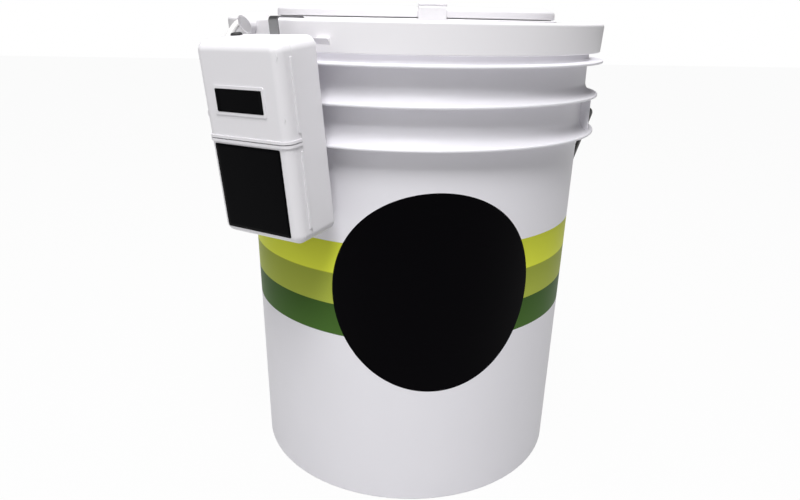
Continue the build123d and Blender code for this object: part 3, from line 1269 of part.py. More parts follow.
with BuildPart() as air_stone:
    with BuildSketch(stone_plane):
        with BuildLine():
            Polyline(
                (cap_end, 0),
                (cap_end, stone_radius - FIT),
                (cap_end + STONE_LENGTH - STONE_CHAMFER, stone_radius - FIT),
                (cap_end + STONE_LENGTH, stone_radius - FIT - STONE_CHAMFER),
                (cap_end + STONE_LENGTH, 0),
                close=True,
            )
        make_face()
    revolve(axis=Axis(ROUTE[-1], stone_out))
air_stone.part.label = "air_stone"
export_step(air_stone.part, "parts/air_stone.step")
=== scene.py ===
"""Aerated bait bucket: insulated pail, snap lid, flip-up hatch, wire bail and a clip-on air pump."""

import logging
from dataclasses import dataclass, field
from enum import Enum
from math import cos, pi, radians, sin, tan
from typing import Any, Sequence

import bmesh
import bpy
from mathutils import Matrix, Vector
from mathutils.bvhtree import BVHTree


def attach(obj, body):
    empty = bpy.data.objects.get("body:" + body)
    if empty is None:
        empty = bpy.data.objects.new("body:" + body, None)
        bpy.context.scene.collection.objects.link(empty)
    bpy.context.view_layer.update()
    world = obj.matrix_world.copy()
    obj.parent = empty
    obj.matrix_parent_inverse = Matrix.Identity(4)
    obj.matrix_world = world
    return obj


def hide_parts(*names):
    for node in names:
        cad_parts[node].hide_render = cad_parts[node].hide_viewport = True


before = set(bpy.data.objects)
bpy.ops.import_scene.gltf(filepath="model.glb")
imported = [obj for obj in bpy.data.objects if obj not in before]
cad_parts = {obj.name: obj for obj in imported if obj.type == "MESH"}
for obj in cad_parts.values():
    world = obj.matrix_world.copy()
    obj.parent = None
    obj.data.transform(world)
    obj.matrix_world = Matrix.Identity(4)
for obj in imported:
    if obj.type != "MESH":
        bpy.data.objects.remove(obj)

LOG = logging.getLogger("bait_bucket")
MM = 0.001
TURN_STEPS = 192
SHARP_ANGLE = 34.0

Colour = tuple[float, float, float]
Corner = tuple[float, float, float]


class Body(Enum):
    """The bodies that the bucket's pieces ride on."""

    BUCKET = "bucket"
    BAIL = "bail"
    GRIP = "grip"
    LID = "lid"
    HATCH = "hatch"
    BATTERY_DOOR = "battery_door"
    ROTOR = "rotor"
    LEVER = "pump_lever"
    BUTTON = "button"


def around(azimuth: float) -> Matrix:
    """Turn that brings +X to an azimuth, in degrees from -Y towards +X."""
    return Matrix.Rotation(radians(azimuth - 90.0), 4, "Z")


def round_pail(radius: float, azimuth: float, height: float) -> Vector:
    """A point in millimetres at a radius, azimuth and height round the pail's axis."""
    return around(azimuth) @ Vector((radius, 0.0, height))


# ------------------------------------------------------------------ shader bench
class Value:
    """A shader value, which Python's operators turn into Math nodes."""

    def __init__(self, bench: "Bench", socket: bpy.types.NodeSocket) -> None:
        """Wraps an output socket of a bench."""
        self.bench = bench
        self.socket = socket

    def maths(self, operation: str, *others: "Value | float") -> "Value":
        """Puts this value and others through one Math node.

        Args:
            operation: The Math node's operation.
            others: The further values, in the node's order.

        Returns:
            The node's result.
        """
        return self.bench.maths(operation, self, *others)

    def __add__(self, other: "Value | float") -> "Value":
        """Sum."""
        return self.maths("ADD", other)

    __radd__ = __add__

    def __sub__(self, other: "Value | float") -> "Value":
        """Difference."""
        return self.maths("SUBTRACT", other)

    def __rsub__(self, other: float) -> "Value":
        """Difference from a number."""
        return self.bench.maths("SUBTRACT", other, self)

    def __mul__(self, other: "Value | float") -> "Value":
        """Product."""
        return self.maths("MULTIPLY", other)

    __rmul__ = __mul__

    def __truediv__(self, other: "Value | float") -> "Value":
        """Quotient."""
        return self.maths("DIVIDE", other)

    def __gt__(self, other: "Value | float") -> "Value":
        """One where this value is greater."""
        return self.maths("GREATER_THAN", other)

    def __lt__(self, other: "Value | float") -> "Value":
        """One where this value is less."""
        return self.maths("LESS_THAN", other)


class Bench:
    """One material's node tree, with a shader at its end."""

    def __init__(self, name: str) -> None:
        """Starts an empty material of that name."""
        self.material = bpy.data.materials.new(name)
        self.material.use_nodes = True
        self.tree = self.material.node_tree
        self.tree.nodes.clear()
        self.shader = self.node("ShaderNodeBsdfPrincipled")
        self.output = self.node("ShaderNodeOutputMaterial", Surface=self.shader.outputs["BSDF"])
        self.place = self.node("ShaderNodeTexCoord").outputs["Object"]

    def node(self, kind: str, settings: dict[str, Any] | None = None, **inputs: Any) -> bpy.types.Node:
        """Adds a node.

        Args:
            kind: The node's type.
            settings: Its properties, set before its sockets.
            inputs: Values or links of its sockets; a name such as _0 is the socket's number.

        Returns:
            The node.
        """
        made = self.tree.nodes.new(kind)
        for key, value in (settings or {}).items():
            setattr(made, key, value)
        for key, value in inputs.items():
            name = int(key[1:]) if key[0] == "_" else key.replace("_", " ")
            self.feed(made.inputs[name], value)
        return made

    def feed(self, socket: bpy.types.NodeSocket, value: Any) -> None:
        """Links or sets one input socket."""
        if isinstance(value, Value):
            value = value.socket
        if isinstance(value, bpy.types.NodeSocket):
            self.tree.links.new(value, socket)
        elif isinstance(value, (tuple, list)) and len(value) == 3 and socket.type == "RGBA":
            socket.default_value = (*value, 1.0)
        else:
            socket.default_value = value

    def cover(self, factor: Value, surface: bpy.types.NodeSocket) -> None:
        """Lays another surface over the material's own where a factor is one."""
        own = self.shader.outputs["BSDF"]
        mixed = self.node("ShaderNodeMixShader", _0=factor, _1=own, _2=surface)
        self.feed(self.output.inputs["Surface"], mixed.outputs[0])

    def maths(self, operation: str, *values: Value | float) -> Value:
        """Adds a Math node on values and returns its result."""
        made = self.node("ShaderNodeMath", {"operation": operation})
        for socket, value in zip(made.inputs, values):
            self.feed(socket, value)
        return Value(self, made.outputs[0])

    def axes(self, place: bpy.types.NodeSocket | None = None) -> list[Value]:
        """The three numbers of a position."""
        split = self.node("ShaderNodeSeparateXYZ", Vector=place or self.place)
        return [Value(self, out) for out in split.outputs]

    def noise(self, scale: float, detail: float = 3.0, place: bpy.types.NodeSocket | None = None) -> Value:
        """Smooth noise from 0 to 1, whose scale is in cells per metre."""
        made = self.node("ShaderNodeTexNoise", Vector=place or self.place, Scale=scale, Detail=detail)
        return Value(self, made.outputs["Fac"])

    def cells(self, scale: float, feature: str = "F1", place: bpy.types.NodeSocket | None = None) -> Value:
        """Distance in a field of cells, whose scale is in cells per metre."""
        made = self.node("ShaderNodeTexVoronoi", {"feature": feature}, Vector=place or self.place, Scale=scale)
        return Value(self, made.outputs["Distance"])

    def ramp(self, value: Value, low: float, high: float, start: float, end: float) -> Value:
        """Maps a value from one range to another, and clamps it there."""
        made = self.node(
            "ShaderNodeMapRange", {"clamp": True}, _0=value, _1=low, _2=high, _3=start, _4=end
        )
        return Value(self, made.outputs[0])

    def blend(self, factor: Value | float, first: Any, second: Any) -> bpy.types.NodeSocket:
        """Mixes two colours."""
        made = self.node("ShaderNodeMix", {"data_type": "RGBA"}, _0=factor, _6=first, _7=second)
        return made.outputs[2]

    def bump(self, height: Value, distance: float, under: bpy.types.NodeSocket | None = None) -> bpy.types.NodeSocket:
        """A normal from a height of 0 to 1 that stands for a distance in metres."""
        made = self.node("ShaderNodeBump", Height=height, Distance=distance, Strength=1.0)
        if under is not None:
            self.feed(made.inputs["Normal"], under)
        return made.outputs["Normal"]


# ---------------------------------------------------------------------- finishes
@dataclass(frozen=True)
class Finish:
    """A moulded, cast or coated surface with mottled colour, grain and worn gloss."""

    name: str
    colour: Colour
    roughness: float = 0.4
    metallic: float = 0.0
    coat: float = 0.0
    mottle: float = 0.04
    mottle_scale: float = 22.0
    grain_scale: float = 900.0
    grain_depth: float = 0.00002
    wear: float = 0.08
    alpha: float = 1.0
    specular: float = 0.5

    def paint(self, bench: Bench) -> Any:
        """The surface's own colour, before its mottle."""
        return self.colour

    def relief(self, bench: Bench) -> bpy.types.NodeSocket:
        """The surface's normal."""
        grain = bench.bump(bench.noise(self.grain_scale, 4.0), self.grain_depth)
        return bench.bump(bench.noise(35.0, 1.0), self.grain_depth * 3.0, grain)

    def gloss(self, bench: Bench) -> Value:
        """The surface's roughness."""
        smear = bench.noise(28.0, 6.0) - 0.5
        fine = bench.noise(260.0, 2.0) - 0.5
        return smear * (2.0 * self.wear) + fine * self.wear + self.roughness

    def overlay(self, bench: Bench) -> None:
        """Lays print over the surface; a plain finish has none."""

    def build(self) -> bpy.types.Material:
        """Makes the material."""
        bench = Bench(self.name)
        shader = bench.shader
        own = self.paint(bench)
        shade = bench.ramp(bench.noise(self.mottle_scale, 5.0), 0.3, 0.7, 0.0, 1.0)
        darker = bench.node(
            "ShaderNodeMix", {"data_type": "RGBA", "blend_type": "MULTIPLY"},
            _0=1.0, _6=own, _7=(1.0 - self.mottle,) * 3,
        ).outputs[2]
        bench.feed(shader.inputs["Base Color"], bench.blend(shade, darker, own))
        bench.feed(shader.inputs["Roughness"], self.gloss(bench))
        bench.feed(shader.inputs["Normal"], self.relief(bench))
        shader.inputs["Metallic"].default_value = self.metallic
        shader.inputs["Coat Weight"].default_value = self.coat
        shader.inputs["Coat Roughness"].default_value = 0.12
        shader.inputs["Specular IOR Level"].default_value = self.specular
        shader.inputs["Alpha"].default_value = self.alpha
        self.overlay(bench)
        return bench.material


@dataclass(frozen=True)
class BandedPail(Finish):
    """White pail plastic under a printed wrap of three bands and a dark disc."""

    bands: tuple[float, float, float, float] = (142.0, 167.0, 191.6, 216.5)
    disc_azimuth: float = 2.8
    disc_height: float = 178.7
    disc_radius: float = 78.0
    wrap_radius: float = 134.6
    # Painted shade: heights in millimetres and colour of a darker ring on the neck under the lid's skirt
    painted_shade_heights: tuple[float, float] = (341.8, 349.0)
    painted_shade_colour: Colour = (0.50, 0.49, 0.52)
    lime: Colour = (0.69, 0.74, 0.062)
    olive: Colour = (0.40, 0.46, 0.066)
    forest: Colour = (0.062, 0.137, 0.027)
    ink: Colour = (0.0008, 0.0006, 0.0012)
    print_specular: float = 0.03

    def masks(self, bench: Bench) -> tuple[Value, Value, Value]:
        """Where the wrap lies on the pail.

        Args:
            bench: The material's bench.

        Returns:
            The height on the pail in millimetres, the bands' mask and the disc's mask.
        """
        x, y, z = bench.axes()
        high = z * (1.0 / MM)
        out = bench.maths("SQRT", x * x + y * y)
        outside = out > bench.ramp(z, 0.0, 0.2864, 0.1300, 0.1358)
        bands = (high > self.bands[0]) * (high < self.bands[3]) * outside
        turn = bench.maths("ARCTAN2", x, y * -1.0) - radians(self.disc_azimuth)
        along = turn * self.wrap_radius
        rise = high - self.disc_height
        reach = bench.maths("SQRT", along * along + rise * rise)
        return high, bands, (reach < self.disc_radius) * outside

    def paint(self, bench: Bench) -> bpy.types.NodeSocket:
        """White plastic, with painted shade in a ring on the neck under the lid's skirt."""
        high = bench.axes()[2] * (1.0 / MM)
        low, top = self.painted_shade_heights
        return bench.blend((high > low) * (high < top), self.colour, self.painted_shade_colour)

    def print_colour(self, bench: Bench, high: Value, disc: Value) -> bpy.types.NodeSocket:
        """The bands' tones, each a little lighter towards its foot, and the disc's."""
        low, middle, upper, _ = self.bands
        printed = bench.blend(high > middle, self.forest, self.olive)
        printed = bench.blend(high > upper, printed, self.lime)
        fade = bench.maths("FRACT", (high - low) / (middle - low))
        shade = bench.ramp(fade, 0.0, 1.0, 1.06, 0.80)
        tint = bench.node("ShaderNodeCombineColor", _0=shade, _1=shade, _2=shade).outputs[0]
        printed = bench.node(
            "ShaderNodeMix", {"data_type": "RGBA", "blend_type": "MULTIPLY"}, _0=1.0, _6=printed, _7=tint
        ).outputs[2]
        return bench.blend(disc, printed, self.ink)

    def overlay(self, bench: Bench) -> None:
        """The wrap: a thin matt print whose edges stand a hair proud of the plastic."""
        high, bands, disc = self.masks(bench)
        covered = bench.maths("MAXIMUM", bands, disc)
        wrap = bench.node(
            "ShaderNodeBsdfPrincipled",
            Base_Color=self.print_colour(bench, high, disc),
            Roughness=self.gloss(bench),
            Specular_IOR_Level=self.print_specular,
            Normal=bench.bump(covered, 0.00008, self.relief(bench)),
        )
        bench.cover(covered, wrap.outputs["BSDF"])


@dataclass(frozen=True)
class Rolled(Finish):
    """Sheet or drawn metal with fine lines along one axis."""

    stretch: Corner = (900.0, 900.0, 40.0)

    def relief(self, bench: Bench) -> bpy.types.NodeSocket:
        """Fine lines along the sheet over a soft waviness."""
        drawn = bench.node("ShaderNodeMapping", Vector=bench.place, Scale=self.stretch).outputs[0]
        lines = bench.bump(bench.noise(3.0, 3.0, drawn), self.grain_depth)
        return bench.bump(bench.noise(60.0, 1.0), self.grain_depth * 4.0, lines)


@dataclass(frozen=True)
class Beads(Finish):
    """Moulded bead foam: cells packed against each other."""

    cell_scale: float = 260.0
    cell_depth: float = 0.0006

    def relief(self, bench: Bench) -> bpy.types.NodeSocket:
        """Rounded beads with closed seams between them."""
        seams = bench.ramp(bench.cells(self.cell_scale, "DISTANCE_TO_EDGE"), 0.0, 0.16, 0.0, 1.0)
        return bench.bump(seams, self.cell_depth, Finish.relief(self, bench))


@dataclass(frozen=True)
class Jacket(Finish):
    """A cell's printed jacket with one plain band round its upper end."""

    band: Colour = (0.52, 0.30, 0.10)
    axis_low: Corner = (0.0, 0.0, 0.0)
    axis: Corner = (0.0, 0.0, 1.0)
    band_start: float = 0.038

    def paint(self, bench: Bench) -> Any:
        """Dark jacket, band and bare metal ends."""
        along = bench.node(
            "ShaderNodeVectorMath", {"operation": "SUBTRACT"}, _0=bench.place, _1=self.axis_low
        ).outputs[0]
        height = Value(
            bench,
            bench.node("ShaderNodeVectorMath", {"operation": "DOT_PRODUCT"}, _0=along, _1=self.axis).outputs[
                "Value"
            ],
        )
        jacket = bench.blend(height > self.band_start, self.colour, self.band)
        ends = bench.maths("MAXIMUM", height < 0.0012, height > 0.0578)
        return bench.blend(ends, jacket, (0.62, 0.62, 0.60))


class Finishes:
    """Every finish of the bucket, each made once."""

    RECIPES: tuple[Finish, ...] = (
        BandedPail("pail_white", (0.80, 0.788, 0.83), 0.42, mottle=0.012, wear=0.03, specular=0.25),
        Finish("lid_white", (0.84, 0.825, 0.85), 0.38, mottle=0.012, wear=0.04, specular=0.35),
        Finish("pump_white", (0.785, 0.772, 0.80), 0.36, mottle=0.006, wear=0.02, specular=0.35),
        Beads("liner_foam", (0.80, 0.80, 0.79), 0.72, grain_scale=1500.0, grain_depth=0.00005),
        Finish("wire_black", (0.012, 0.012, 0.013), 0.30, coat=0.35, grain_scale=1400.0),
        Finish("grip_black", (0.018, 0.018, 0.020), 0.46, grain_scale=1600.0, grain_depth=0.00006),
        Finish("soft_rubber", (0.020, 0.020, 0.021), 0.62, grain_scale=1800.0, grain_depth=0.00005),
        Beads("seal_foam", (0.62, 0.62, 0.60), 0.85, cell_scale=1600.0, cell_depth=0.0002),
        Rolled("clip_steel", (0.27, 0.27, 0.275), 0.33, metallic=1.0, wear=0.12, grain_depth=0.000015),
        Rolled("screw_steel", (0.55, 0.55, 0.56), 0.28, metallic=1.0, wear=0.10),
        Rolled("motor_can", (0.62, 0.62, 0.63), 0.22, metallic=1.0, wear=0.08),
        Finish("works_plastic", (0.66, 0.64, 0.56), 0.42, mottle=0.06),
        Rolled("contact_nickel", (0.66, 0.64, 0.60), 0.25, metallic=1.0),
        Finish("silicone", (0.74, 0.74, 0.73), 0.34, coat=0.2, grain_scale=500.0, specular=0.4),
        Finish("label_ink", (0.001, 0.001, 0.0015), 0.45, mottle=0.1, grain_depth=0.000004, specular=0.03),
        Finish("slot_dark", (0.010, 0.010, 0.010), 0.8),
        Beads(
            "air_stone", (0.20, 0.30, 0.42), 0.92, mottle=0.4, mottle_scale=300.0,
            cell_scale=1500.0, cell_depth=0.0005,
        ),
    )

    def __init__(self) -> None:
        """Builds the materials."""
        self.made = {recipe.name: recipe.build() for recipe in self.RECIPES}

    def __getitem__(self, name: str) -> bpy.types.Material:
        """The material of that name."""
        return self.made[name]


# ------------------------------------------------------------------------- forms
class Form:
    """A mesh in the making, in millimetres, which becomes one piece in metres."""

    def __init__(self) -> None:
        """Starts an empty form."""
        self.bm = bmesh.new()

    def take(self, part: bmesh.types.BMesh, place: Matrix) -> "Form":
        """Moves a finished solid into the form.

        Args:
            part: The solid, which is used up.
            place: Where it goes.

        Returns:
            The form.
        """
        part.transform(place)
        bmesh.ops.recalc_face_normals(part, faces=part.faces)
        scratch = bpy.data.meshes.new("scratch")
        part.to_mesh(scratch)
        part.free()
        self.bm.from_mesh(scratch)
        bpy.data.meshes.remove(scratch)
        return self

    @staticmethod
    def outline(part: bmesh.types.BMesh, corners: Sequence[Corner], closed: bool) -> None:
        """Draws a profile of first, second coordinate and rounding, in the XZ plane.

        Args:
            part: The mesh it is drawn in.
            corners: The profile's corners in order.
            closed: Whether the last corner joins the first.
        """
        verts = [part.verts.new((a, 0.0, b)) for a, b, _ in corners]
        pairs = list(zip(verts, verts[1:])) + ([(verts[-1], verts[0])] if closed else [])
        for pair in pairs:
            part.edges.new(pair)
        sizes = sorted({rounding for _, _, rounding in corners if rounding > 0.0}, reverse=True)
        chosen = {size: [v for v, c in zip(verts, corners) if c[2] == size] for size in sizes}
        for size, corner_verts in chosen.items():
            bmesh.ops.bevel(
                part, geom=corner_verts, offset=size, offset_type="OFFSET", segments=10 if size > 4 else 4,
                profile=0.5, affect="VERTICES", material=-1,
            )

    def turned(self, corners: Sequence[Corner], place: Matrix = Matrix(), steps: int = TURN_STEPS) -> "Form":
        """Adds a solid turned about Z from a profile of radius, height and rounding.

        Args:
            corners: The profile, closed on itself or ending on the axis.
            place: Where the solid goes.
            steps: Steps in the turn.

        Returns:
            The form.
        """
        part = bmesh.new()
        self.outline(part, corners, corners[0][0] > 0.0)
        bmesh.ops.spin(
            part, geom=part.verts[:] + part.edges[:], cent=(0, 0, 0), axis=(0, 0, 1), dvec=(0, 0, 0),
            angle=2.0 * pi, steps=steps, use_merge=True, use_duplicate=False,
        )
        bmesh.ops.remove_doubles(part, verts=part.verts, dist=0.001)
        return self.take(part, place)

    def prism(self, corners: Sequence[Corner], depth: float, place: Matrix = Matrix(), edge: float = 0.0) -> "Form":
        """Adds a prism drawn in XZ that runs both ways along Y.

        Args:
            corners: The outline as first, second coordinate and rounding.
            depth: Its whole depth along Y.
            place: Where the solid goes.
            edge: Rounding of the edges of its two ends.

        Returns:
            The form.
        """
        part = bmesh.new()
        self.outline(part, corners, True)
        face = bmesh.ops.contextual_create(part, geom=part.edges[:])["faces"]
        bmesh.ops.translate(part, verts=part.verts, vec=(0.0, -depth / 2.0, 0.0))
        grown = bmesh.ops.extrude_face_region(part, geom=face, use_keep_orig=True)["geom"]
        moved = [g for g in grown if isinstance(g, bmesh.types.BMVert)]
        bmesh.ops.translate(part, verts=moved, vec=(0.0, depth, 0.0))
        bmesh.ops.recalc_face_normals(part, faces=part.faces)
        if edge > 0.0:
            rims = [e for e in part.edges if abs(abs(sum(v.co.y for v in e.verts)) - depth) < 0.001]
            bmesh.ops.bevel(
                part, geom=rims, offset=edge, offset_type="OFFSET", segments=3, profile=0.5,
                affect="EDGES", material=-1, clamp_overlap=True,
            )
        return self.take(part, place)

    def block(self, size: Corner, centre: Corner, edge: float, place: Matrix = Matrix()) -> "Form":
        """Adds a block with rounded edges.

        Args:
            size: Its three sizes.
            centre: Its centre.
            edge: The edges' rounding.
            place: Where the solid goes.

        Returns:
            The form.
        """
        part = bmesh.new()
        bmesh.ops.create_cube(part, size=1.0)
        bmesh.ops.scale(part, vec=size, verts=part.verts)
        bmesh.ops.bevel(
            part, geom=part.edges[:], offset=edge, offset_type="OFFSET", segments=3, profile=0.5,
            affect="EDGES", material=-1,
        )
        bmesh.ops.translate(part, verts=part.verts, vec=centre)
        return self.take(part, place)

    def finish(self, name: str, material: bpy.types.Material, sharp: float = SHARP_ANGLE) -> bpy.types.Object:
        """Turns the form into a piece.

        Args:
            name: The piece's name.
            material: Its finish.
            sharp: Angle in degrees past which an edge stays crisp.

        Returns:
            The piece, at the origin, in metres.
        """
        self.bm.transform(Matrix.Scale(MM, 4))
        mesh = bpy.data.meshes.new(name)
        self.bm.to_mesh(mesh)
        self.bm.free()
        return as_piece(name, mesh, material, sharp)


def as_piece(name: str, mesh: bpy.types.Mesh, material: bpy.types.Material, sharp: float) -> bpy.types.Object:
    """Makes a smooth-shaded object from a finished mesh.

    Args:
        name: The piece's name.
        mesh: Its mesh, in place and in metres.
        material: Its finish.
        sharp: Angle in degrees past which an edge stays crisp.

    Returns:
        The piece.
    """
    mesh.materials.clear()
    mesh.materials.append(material)
    mesh.polygons.foreach_set("material_index", [0] * len(mesh.polygons))
    mesh.shade_smooth()
    mesh.set_sharp_from_angle(angle=radians(sharp))
    piece = bpy.data.objects.new(name, mesh)
    bpy.context.scene.collection.objects.link(piece)
    weighted = piece.modifiers.new("even_normals", "WEIGHTED_NORMAL")
    weighted.keep_sharp = True
    return piece


class Workshop:
    """Places pieces on their bodies and keeps count of them."""

    def __init__(self, finishes: Finishes) -> None:
        """Starts with no pieces."""
        self.finishes = finishes
        self.count = 0

    def mount(self, piece: bpy.types.Object, body: Body, slot: str, *nodes: str) -> bpy.types.Object:
        """Puts a piece on its body.

        Args:
            piece: The piece.
            body: The body that carries it.
            slot: The record's material slot; not used.
            nodes: The solids that the piece stands for.

        Returns:
            The piece.
        """
        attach(piece, body.value)
        if nodes:
            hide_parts(*nodes)
        self.count += 1
        LOG.info("%s on %s, for %s", piece.name, body.value, ", ".join(nodes) or "nothing else")
        return piece

    def adopt(self, node: str, finish: str, body: Body, slot: str, sharp: float = SHARP_ANGLE) -> bpy.types.Object:
        """Dresses a merged, smooth-shaded copy of a solid in its own finish.

        Args:
            node: The solid.
            finish: Name of its finish.
            body: The body that carries it.
            slot: The record's material slot.
            sharp: Angle in degrees past which an edge stays crisp.

        Returns:
            The piece that stands for the solid.
        """
        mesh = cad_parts[node].data.copy()
        mesh.name = f"{node}_form"
        work = bmesh.new()
        work.from_mesh(mesh)
        bmesh.ops.remove_doubles(work, verts=work.verts, dist=0.000002)
        work.to_mesh(mesh)
        work.free()
        if "custom_normal" in mesh.attributes:
            mesh.attributes.remove(mesh.attributes["custom_normal"])
        piece = as_piece(f"{node}_form", mesh, self.finishes[finish], sharp)
        return self.mount(piece, body, slot, node)


# -------------------------------------------------------------------------- pail
@dataclass
class Pail:
    """Snap-lid pail with three ribs, two bail ears and a printed wrap."""

    base: float = 131.0
    wall: float = 2.4
    ribs: tuple[tuple[float, float, float, float], ...] = (
        (286.4, 148.7, 138.2, 8.5),
        (314.3, 149.4, 139.4, 8.5),
        (339.6, 151.1, 140.0, 2.5),
    )
    rib_thickness: float = 2.0
    rim: float = 362.0
    bead: tuple[float, float] = (3.4, 3.6)
    ear: tuple[float, float, float] = (30.0, 287.4, 315.3)
    ear_face: float = 147.6
    web_turn: float = 23.5
    web_thickness: float = 2.5
    web_face: float = 145.3

    def profile(self) -> list[Corner]:
        """The wall's profile, from under the floor, up outside and down inside."""
        corners: list[Corner] = [
            (0.0, 4.0, 0.0), (self.base - 3.8, 4.0, 1.2), (self.base - 3.8, 0.0, 0.9), (self.base, 0.0, 1.6),
        ]
        under = 136.8
        for height, radius, above, cove in self.ribs:
            top = height + self.rib_thickness
            corners += [(under, height, 0.5), (radius, height, 0.75), (radius, top, 0.76), (above, top, cove)]
            under = above
        proud, bead_high = self.bead
        mouth = self.ribs[-1][2]
        corners += [
            (mouth, self.rim - bead_high - proud, 0.5), (mouth + proud, self.rim - bead_high, 0.8),
            (mouth + proud, self.rim, 1.1), (mouth - self.wall, self.rim, 1.0),
            (mouth - self.wall, 339.6, 0.0), (137.0, 316.3, 0.0), (135.8, 288.4, 0.0),
            (134.4, 286.4, 0.0), (128.74, 7.0, 3.0), (0.0, 7.0, 0.0),
        ]
        return corners

    def build(self, shop: Workshop) -> None:
        """Makes the pail and its liner."""
        form = Form().turned(self.profile(), steps=256)
        width, low, high = self.ear
        root = 136.5
        ribs = [(0.0, width, self.ear_face, 0.9)]
        ribs += [(turn, self.web_thickness, self.web_face, 0.5) for turn in (-self.web_turn, self.web_turn)]
        for side in (90.0, -90.0):
            for turn, across, face, edge in ribs:
                size = (face - root, across, high - low)
                centre = ((face + root) / 2.0, 0.0, (low + high) / 2.0)
                form.block(size, centre, edge, around(side + turn))
        piece = form.finish("pail", shop.finishes["pail_white"])
        shop.mount(piece, Body.BUCKET, "pail_white", "bucket_shell")
        shop.adopt("foam_liner", "liner_foam", Body.BUCKET, "liner_foam")


# -------------------------------------------------------------------------- bail
@dataclass
class Bail:
    """Wire bail with a ringed grip."""

    reach: float = 232.0
    hang: float = 37.937
    pivot: float = 298.0
    grip_length: float = 96.0
    grip_radius: float = 9.0
    waist: float = 7.5
    rings: int = 5

    def grip_profile(self) -> list[Corner]:
        """The grip's profile: bore, end faces and hollows between its rings."""
        half = self.grip_length / 2.0
        pitch = self.grip_length / self.rings
        bore = 2.1
        corners: list[Corner] = [(bore, -half, 0.3), (self.grip_radius, -half, 1.0)]
        for ring in range(self.rings):
            centre = -half + (ring + 0.5) * pitch
            corners += [(self.waist, centre - pitch * 0.22, 3.0), (self.waist, centre + pitch * 0.22, 3.0)]
            if ring < self.rings - 1:
                corners.append((self.grip_radius, centre + pitch / 2.0, 1.2))
        corners += [(self.grip_radius, half, 1.0), (bore, half, 0.3)]
        return corners

    def build(self, shop: Workshop) -> None:
        """Makes the wire and the grip."""
        shop.adopt("bail_wire", "wire_black", Body.BAIL, "bail_black")
        hang = radians(self.hang)
        centre = Vector((0.0, self.reach * sin(hang), self.pivot - self.reach * cos(hang)))
        place = Matrix.Translation(centre) @ Matrix.Rotation(pi / 2.0, 4, "Y")
        piece = Form().turned(self.grip_profile(), place, 64).finish("grip", shop.finishes["grip_black"], 60.0)
        shop.mount(piece, Body.GRIP, "grip_black", "bail_grip")


